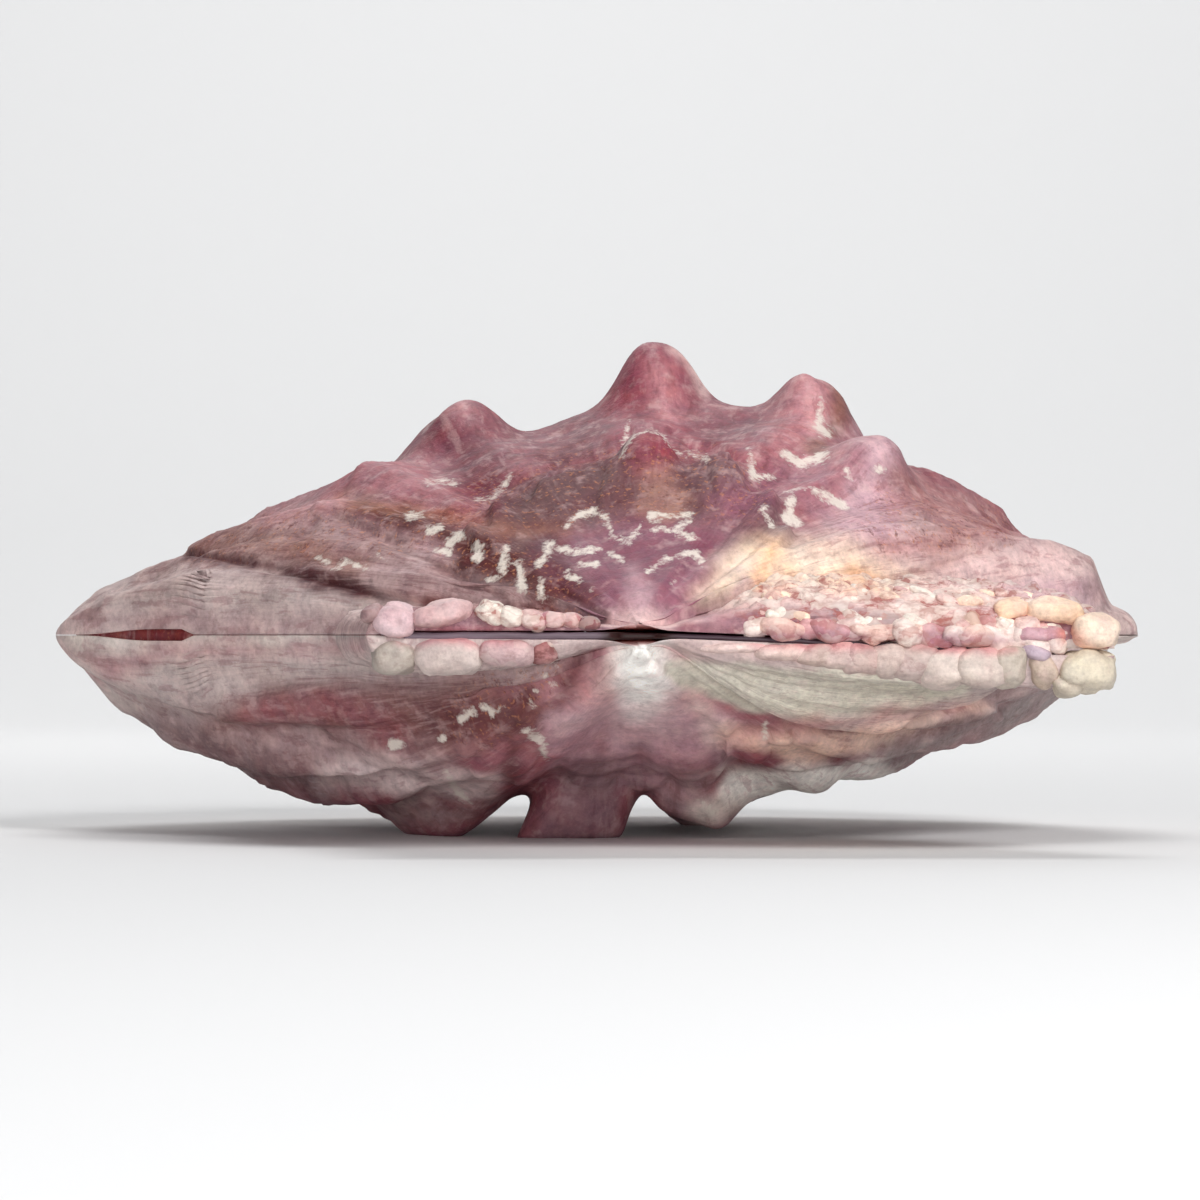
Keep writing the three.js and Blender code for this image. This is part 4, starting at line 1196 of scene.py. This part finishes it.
def ligament_object(name, material):
    """A strip along the hinge with a rounded front edge, notched in front of the pit."""
    x = np.linspace(LIGAMENT_FROM - LIGAMENT_TAILS[0], LIGAMENT_TO + LIGAMENT_TAILS[1], 200)
    recess, width = LIGAMENT_RECESS
    near = LIGAMENT_NEAR + (recess + 1) * (1 - ease(width - 1.2, width + 0.2, np.abs(x)))
    mix = ease(-4, 4, x)
    half = LIGAMENT_HALF[0] * (1 - mix) + LIGAMENT_HALF[1] * mix
    low = LIGAMENT_LOW[0] * (1 - mix) + LIGAMENT_LOW[1] * mix
    turn = np.radians(np.linspace(-90, 90, 9))
    y = np.concatenate([[LIGAMENT_BACK], 0.35 * (1 - np.cos(turn)), [LIGAMENT_BACK]])
    z = np.concatenate([[-1], np.sin(turn), [1]])
    along = np.broadcast_to(x[:, None], (len(x), len(y)))
    depth = np.where(y > 1, LIGAMENT_BACK, near[:, None] + y)
    middle = closing_height(x, near, np.full(x.shape, 90.0), 0 * x) - low
    rough = 0.05 * value_noise(np.stack([along, depth, 0 * along], -1), 1.4, 51)
    height = middle[:, None] + half[:, None] * z + rough
    points = np.stack([along, depth, height], -1).reshape(-1, 3)
    grid = np.arange(len(points)).reshape(len(x), len(y))
    around = np.concatenate([grid, grid[:, :1]], 1)
    faces = grid_faces(around).tolist() + [grid[0].tolist(), grid[-1][::-1].tolist()]
    # Painted shade: the pit's part near black, and the front part darkened to the slit's shadow
    spots = [LIGAMENT_FROM, -4.5, -3.0, 0, 3.0, 4.5, LIGAMENT_TO]
    paints = [LIGAMENT_GREY, LIGAMENT_GREY, PIT_SHADE, PIT_SHADE, PIT_SHADE, LIGAMENT_PURPLE, LIGAMENT_PURPLE]
    tint = np.stack([np.interp(points[:, 0], spots, [paint[k] for paint in paints]) for k in range(3)], -1)
    return make_object(name, points, faces, dict(tint=tint), material)


def add(tree, kind, settings=None, **sockets):
    """A node: settings are its own properties, and a socket gets a constant or another node's output."""
    made = tree.nodes.new(kind)
    for key, value in (settings or {}).items():
        setattr(made, key, value)
    for key, value in sockets.items():
        socket = made.inputs[int(key[1:]) if key[1:].isdigit() else key]
        if isinstance(value, bpy.types.NodeSocket):
            tree.links.new(value, socket)
        else:
            socket.default_value = value
    return made


def noise(tree, place, scale, detail=3.0, roughness=0.6):
    """Soft random values around 0.5."""
    made = add(tree, "ShaderNodeTexNoise", Vector=place, Scale=scale, Detail=detail, Roughness=roughness)
    return made.outputs[0]


def fitted(tree, value, low, high, start=0.0, end=1.0):
    """Stretches a value from one range to another, held at its ends."""
    made = add(tree, "ShaderNodeMapRange", None, Value=value)
    for name, number in (("From Min", low), ("From Max", high), ("To Min", start), ("To Max", end)):
        made.inputs[name].default_value = number
    return made.outputs[0]


def sums(tree, operation, a, b):
    """One value made of two by an arithmetic operation."""
    return add(tree, "ShaderNodeMath", {"operation": operation}, i0=a, i1=b).outputs[0]


def times(tree, a, b):
    """Two values multiplied."""
    return sums(tree, "MULTIPLY", a, b)


def plus(tree, a, b):
    """Two values added."""
    return sums(tree, "ADD", a, b)


def centred(tree, value):
    """A value around 0.5, moved to around 0."""
    return sums(tree, "SUBTRACT", value, 0.5)


def blend(tree, factor, a, b, mode="MIX"):
    """Mixes two colours by a factor."""
    made = add(tree, "ShaderNodeMix", {"data_type": "RGBA", "blend_type": mode}, i0=factor, i6=a, i7=b)
    return made.outputs[2]


def layer(tree, name, colour_layer=False):
    """Reads a value, or a colour, that the mesh carries at its points."""
    made = add(tree, "ShaderNodeAttribute", {"attribute_name": name})
    return made.outputs["Color" if colour_layer else "Fac"]


def paint_of(values):
    """A colour for a socket: its three numbers and full cover."""
    return (*[float(v) for v in values], 1.0)


# The shell's pattern: repeats in a metre of each noise, and how it is bent
COARSE_SCALE = 130
MIDDLE_SCALE = 420
FINE_SCALE = 1500
PALE_SCALE = 380
DARK_SCALE = 800
GRAIN_SCALE = 2000
STAIN_SCALE = (380.0, 380.0, 700.0)
BEND_SCALE = 500.0
CELL_SCALE = 430.0
CELL_BEND = (0.003, 0.003, 0.003)
DEEP_STREAK = (0.5, 0.3, 0.34, 1.0)


def shell_pattern():
    """The mottled shell surface, shared by both valves: puts out colour, roughness and height."""
    tree = bpy.data.node_groups.new("shell_pattern", "ShaderNodeTree")
    for name, kind, value in (("Mottle", "NodeSocketFloat", 1.0), ("Flecks", "NodeSocketFloat", 0.4),
                              ("Mark Colour", "NodeSocketColor", paint_of(WHITE)),
                              ("Stain", "NodeSocketColor", paint_of(RED_BROWN))):
        tree.interface.new_socket(name, in_out="INPUT", socket_type=kind).default_value = value
    for name, kind in (("Color", "NodeSocketColor"), ("Roughness", "NodeSocketFloat"),
                       ("Height", "NodeSocketFloat")):
        tree.interface.new_socket(name, in_out="OUTPUT", socket_type=kind)
    given = tree.nodes.new("NodeGroupInput").outputs
    place = tree.nodes.new("ShaderNodeTexCoord").outputs["Object"]
    rib, growth = layer(tree, "rib"), layer(tree, "growth")
    grit, flake = layer(tree, "grit"), layer(tree, "flake")

    coarse = noise(tree, place, COARSE_SCALE)
    middle = noise(tree, place, MIDDLE_SCALE, 4.0, 0.65)
    fine = noise(tree, place, FINE_SCALE, 3.0, 0.7)
    across = add(tree, "ShaderNodeCombineXYZ", X=times(tree, rib, 7.0),
                 Y=times(tree, growth, 7.0)).outputs[0]
    rays = noise(tree, across, 1.0, 3.0, 0.6)
    grown = fitted(tree, growth, 0.1, 0.4, 0.15, 1.0)
    rays = plus(tree, times(tree, centred(tree, rays), grown), 0.5)
    along = add(tree, "ShaderNodeCombineXYZ", X=times(tree, rib, 1.3),
                Y=times(tree, growth, 55.0)).outputs[0]
    bands = noise(tree, along, 1.0, 4.0, 0.65)

    spread = 0.5
    for source, amount in ((coarse, 0.5), (middle, 1.1), (fine, 0.8), (rays, 0.7), (bands, 0.35)):
        part = times(tree, centred(tree, source), amount)
        spread = plus(tree, part, spread)
    spread = centred(tree, spread)
    value = plus(tree, times(tree, spread, given["Mottle"]), 1.0)
    hue = fitted(tree, middle, 0.2, 0.8, 0.485, 0.515)
    richness = fitted(tree, coarse, 0.25, 0.75, 1.15, 0.85)
    toned = add(tree, "ShaderNodeHueSaturation", None, Hue=hue, Saturation=richness, Value=value,
                Color=layer(tree, "tint", True)).outputs[0]

    pale = fitted(tree, noise(tree, place, PALE_SCALE, 3.0, 0.65), 0.54, 0.70)
    pale = times(tree, pale, given["Flecks"])
    toned = blend(tree, pale, toned, paint_of(PALE_PINK))
    streaked = add(tree, "ShaderNodeCombineXYZ", X=times(tree, rib, 11.0),
                   Y=times(tree, growth, 24.0), Z=times(tree, coarse, 3.0)).outputs[0]
    streaks = noise(tree, streaked, 1.0, 4.0, 0.6)
    known = fitted(tree, growth, 0.15, 0.35)
    light = times(tree, fitted(tree, streaks, 0.54, 0.66, 0.0, 0.22), known)
    toned = blend(tree, light, toned, paint_of(PALE_PINK))
    deep = times(tree, fitted(tree, streaks, 0.46, 0.38, 0.0, 0.42), known)
    toned = blend(tree, deep, toned, DEEP_STREAK, "MULTIPLY")
    dark = fitted(tree, noise(tree, place, DARK_SCALE, 4.0, 0.75), 0.56, 0.66)
    dark = times(tree, dark, plus(tree, times(tree, grit, 0.5), 0.18))
    toned = blend(tree, dark, toned, paint_of(DARK_RED))
    grains = fitted(tree, noise(tree, place, GRAIN_SCALE, 2.0, 0.5), 0.58, 0.70)
    grains = times(tree, grains, times(tree, grit, 0.45))
    toned = blend(tree, grains, toned, paint_of(RUST))
    flat = add(tree, "ShaderNodeMapping", None, Vector=place, Scale=STAIN_SCALE).outputs[0]
    stain = fitted(tree, noise(tree, flat, 1.0, 4.0, 0.65), 0.50, 0.58)
    stain = times(tree, stain, times(tree, flake, 0.85))
    toned = blend(tree, stain, toned, given["Stain"])

    wander = add(tree, "ShaderNodeTexNoise", Vector=place, Scale=BEND_SCALE).outputs[1]
    bent = add(tree, "ShaderNodeVectorMath", {"operation": "MULTIPLY_ADD"}, i0=wander, i1=CELL_BEND,
               i2=place).outputs[0]
    bent = add(tree, "ShaderNodeMapping", None, Vector=bent, Scale=(1.0, 1.0, 1.9)).outputs[0]
    cells = add(tree, "ShaderNodeTexVoronoi", None, Vector=bent, Scale=CELL_SCALE).outputs["Color"]
    chosen = add(tree, "ShaderNodeSeparateColor", None, Color=cells).outputs[0]
    chosen = times(tree, fitted(tree, chosen, 0.4, 0.7), times(tree, flake, 0.5))
    toned = blend(tree, chosen, toned, given["Mark Colour"])
    edges = add(tree, "ShaderNodeTexVoronoi", {"feature": "DISTANCE_TO_EDGE"}, Vector=bent,
                Scale=CELL_SCALE).outputs[0]
    edges = times(tree, fitted(tree, edges, 0.16, 0.0), times(tree, flake, 0.3))
    toned = blend(tree, edges, toned, given["Stain"])

    edge = times(tree, centred(tree, middle), 17.0)
    edge = plus(tree, edge, times(tree, centred(tree, fine), 14.0))
    mark = fitted(tree, plus(tree, layer(tree, "mark"), edge), 1.0, -3.4, 0.0, 0.8)
    toned = blend(tree, mark, toned, given["Mark Colour"])

    roughness = plus(tree, times(tree, grit, 0.3), fitted(tree, middle, 0.2, 0.8, 0.46, 0.62))
    height = plus(tree, middle, times(tree, fine, 0.5))
    height = plus(tree, height, times(tree, bands, 0.6))
    height = plus(tree, height, times(tree, grains, 0.8))
    out = tree.nodes.new("NodeGroupOutput")
    for name, value in (("Color", toned), ("Roughness", roughness), ("Height", height)):
        tree.links.new(value, out.inputs[name])
    return tree


# Depth of the finest relief in metres, the shell's sheen, and the ligament's fibres
SHELL_BUMP = 0.00026
SHELL_SHEEN = 0.22
FIBRE_BUMP = 0.0001
FIBRE_SCALE = (60, 400, 2600)


def surface_material(name):
    """An empty material with its Principled shader."""
    material = bpy.data.materials.new(name)
    material.use_nodes = True
    return material, material.node_tree, material.node_tree.nodes["Principled BSDF"]


def shell_material(name, pattern, mottle, flecks, stain):
    """Dull shell: the shared pattern with its own amounts, and a fine bump."""
    material, tree, shader = surface_material(name)
    made = tree.nodes.new("ShaderNodeGroup")
    made.node_tree = pattern
    made.inputs["Mottle"].default_value = mottle
    made.inputs["Flecks"].default_value = flecks
    made.inputs["Stain"].default_value = paint_of(stain)
    height = made.outputs["Height"]
    bump = add(tree, "ShaderNodeBump", None, Strength=0.7, Distance=SHELL_BUMP, Height=height)
    tree.links.new(made.outputs["Color"], shader.inputs["Base Color"])
    tree.links.new(made.outputs["Roughness"], shader.inputs["Roughness"])
    tree.links.new(bump.outputs[0], shader.inputs["Normal"])
    shader.inputs["Specular IOR Level"].default_value = SHELL_SHEEN
    return material


def ligament_material():
    """Dry horny tissue: grey lilac, darker to the front where its purple holds painted shade of the slit,
    near black in the middle as painted shade of the pit, with long fibres.
    """
    material, tree, shader = surface_material("ligament")
    place = tree.nodes.new("ShaderNodeTexCoord").outputs["Object"]
    stretched = add(tree, "ShaderNodeMapping", None, Vector=place, Scale=FIBRE_SCALE).outputs[0]
    fibres = noise(tree, stretched, 1.0, 3.0, 0.6)
    shade = fitted(tree, fibres, 0.3, 0.7, 0.75, 0.1)
    dark = blend(tree, shade, layer(tree, "tint", True), paint_of(DULL_MAUVE), "MULTIPLY")
    tree.links.new(dark, shader.inputs["Base Color"])
    shader.inputs["Roughness"].default_value = 0.55
    bump = add(tree, "ShaderNodeBump", None, Strength=0.5, Distance=FIBRE_BUMP, Height=fibres)
    tree.links.new(bump.outputs[0], shader.inputs["Normal"])
    return material


pattern = shell_pattern()
upper_finish = shell_material("upper_shell", pattern, 0.95, 0.3, colour(156, 88, 80))
lower_finish = shell_material("lower_shell", pattern, 0.85, 0.25, RED_BROWN)

upper_paint = (LEFT_ZONES, LEFT_MARKS, LEFT_GRIT, LEFT_FORMS, LEFT_BANDS)
lower_paint = (RIGHT_ZONES, RIGHT_MARKS, RIGHT_GRIT, RIGHT_FORMS, RIGHT_BANDS)
upper_valve = valve_object("upper_valve", LEFT_VALVE, *upper_paint, upper_finish)
upper_lumps = lumps_object("upper_lumps", LEFT_VALVE, LEFT_LUMPS, SCALE_ROWS, upper_finish)
lower_valve = valve_object("lower_valve", RIGHT_VALVE, *lower_paint, lower_finish)
lower_lumps = lumps_object("lower_lumps", RIGHT_VALVE, RIGHT_LUMPS, (), lower_finish)
back_gap_shade = gap_shade_object("back_gap_shade", lower_finish)
ligament = ligament_object("ligament", ligament_material())

pieces = (
    (upper_valve, "left_valve", "upper_shell"),
    (upper_lumps, "left_valve", "upper_shell"),
    (lower_valve, "right_valve", "lower_shell"),
    (lower_lumps, "right_valve", "lower_shell"),
    (back_gap_shade, "right_valve", "lower_shell"),
    (ligament, "hinge_ligament", "ligament"),
)
for piece, node, slot in pieces:
    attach(piece, "root")
    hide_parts(node)


def studio_floor():
    """A pale floor that curves up behind the shell."""
    floor_half, front, level, bend, wall = 1.6, -1.2, 0.7, 0.5, 1.2
    turn = np.linspace(0, np.pi / 2, 17)
    y = np.concatenate([[front], level + bend * np.sin(turn), [level + bend]])
    z = np.concatenate([[0], bend * (1 - np.cos(turn)), [wall]])
    points = [(x, a, b) for x in (-floor_half, floor_half) for a, b in zip(y, z)]
    count = len(y)
    faces = [(k, count + k, count + k + 1, k + 1) for k in range(count - 1)]
    mesh = bpy.data.meshes.new("floor")
    mesh.from_pydata(points, [], faces)
    mesh.polygons.foreach_set("use_smooth", np.ones(len(faces), bool))
    material, _, shader = surface_material("floor")
    shader.inputs["Base Color"].default_value = (0.72, 0.72, 0.72, 1)
    shader.inputs["Roughness"].default_value = 0.8
    mesh.materials.append(material)
    floor = bpy.data.objects.new("floor", mesh)
    bpy.context.scene.collection.objects.link(floor)


# Soft lights: place, size, power and the point that they face
SHELL_MIDDLE = (0, 0, 0.02)
LIGHTS = {
    "key": ((0.26, -0.46, 0.40), 0.22, 2.7, SHELL_MIDDLE),
    "fill": ((-0.5, -0.45, 0.16), 0.5, 0.7, SHELL_MIDDLE),
    "low front": ((0.06, -0.75, 0.02), 0.3, 3.5, SHELL_MIDDLE),
    "back": ((-0.15, 0.5, 0.5), 0.4, 0.8, SHELL_MIDDLE),
    "backdrop": ((0.0, 0.5, 1.2), 0.6, 12.0, (0.0, 1.2, 0.3)),
}


def area_light(name, place, size, power, target):
    """A square lamp at a place, turned to its target."""
    data = bpy.data.lights.new(name, "AREA")
    data.size = size
    data.energy = power
    light = bpy.data.objects.new(name, data)
    bpy.context.scene.collection.objects.link(light)
    light.location = place
    light.rotation_mode = "QUATERNION"
    light.rotation_quaternion = (Vector(target) - Vector(place)).to_track_quat("-Z", "Y")


studio_floor()
for name, settings in LIGHTS.items():
    area_light(name, *settings)

world = bpy.data.worlds.new("studio")
bpy.context.scene.world = world
world.use_nodes = True
world.node_tree.nodes["Background"].inputs[0].default_value = (0.9, 0.93, 1, 1)
world.node_tree.nodes["Background"].inputs[1].default_value = 0.14
bpy.context.scene.view_settings.view_transform = "Standard"

camera = bpy.data.objects.new("camera", bpy.data.cameras.new("camera"))
bpy.context.scene.collection.objects.link(camera)
camera.data.sensor_width = SENSOR
camera.data.lens = FOCAL_PIXELS * SENSOR / IMAGE
camera.data.clip_start = 0.01
camera.location = Vector((np.array([CAMERA_X, -CAMERA_AWAY, 0]) + BEAK) * MM)
camera.rotation_euler = (math.pi / 2 + math.atan((LEVEL_LINE - IMAGE / 2) / FOCAL_PIXELS), 0, 0)
bpy.context.scene.camera = camera
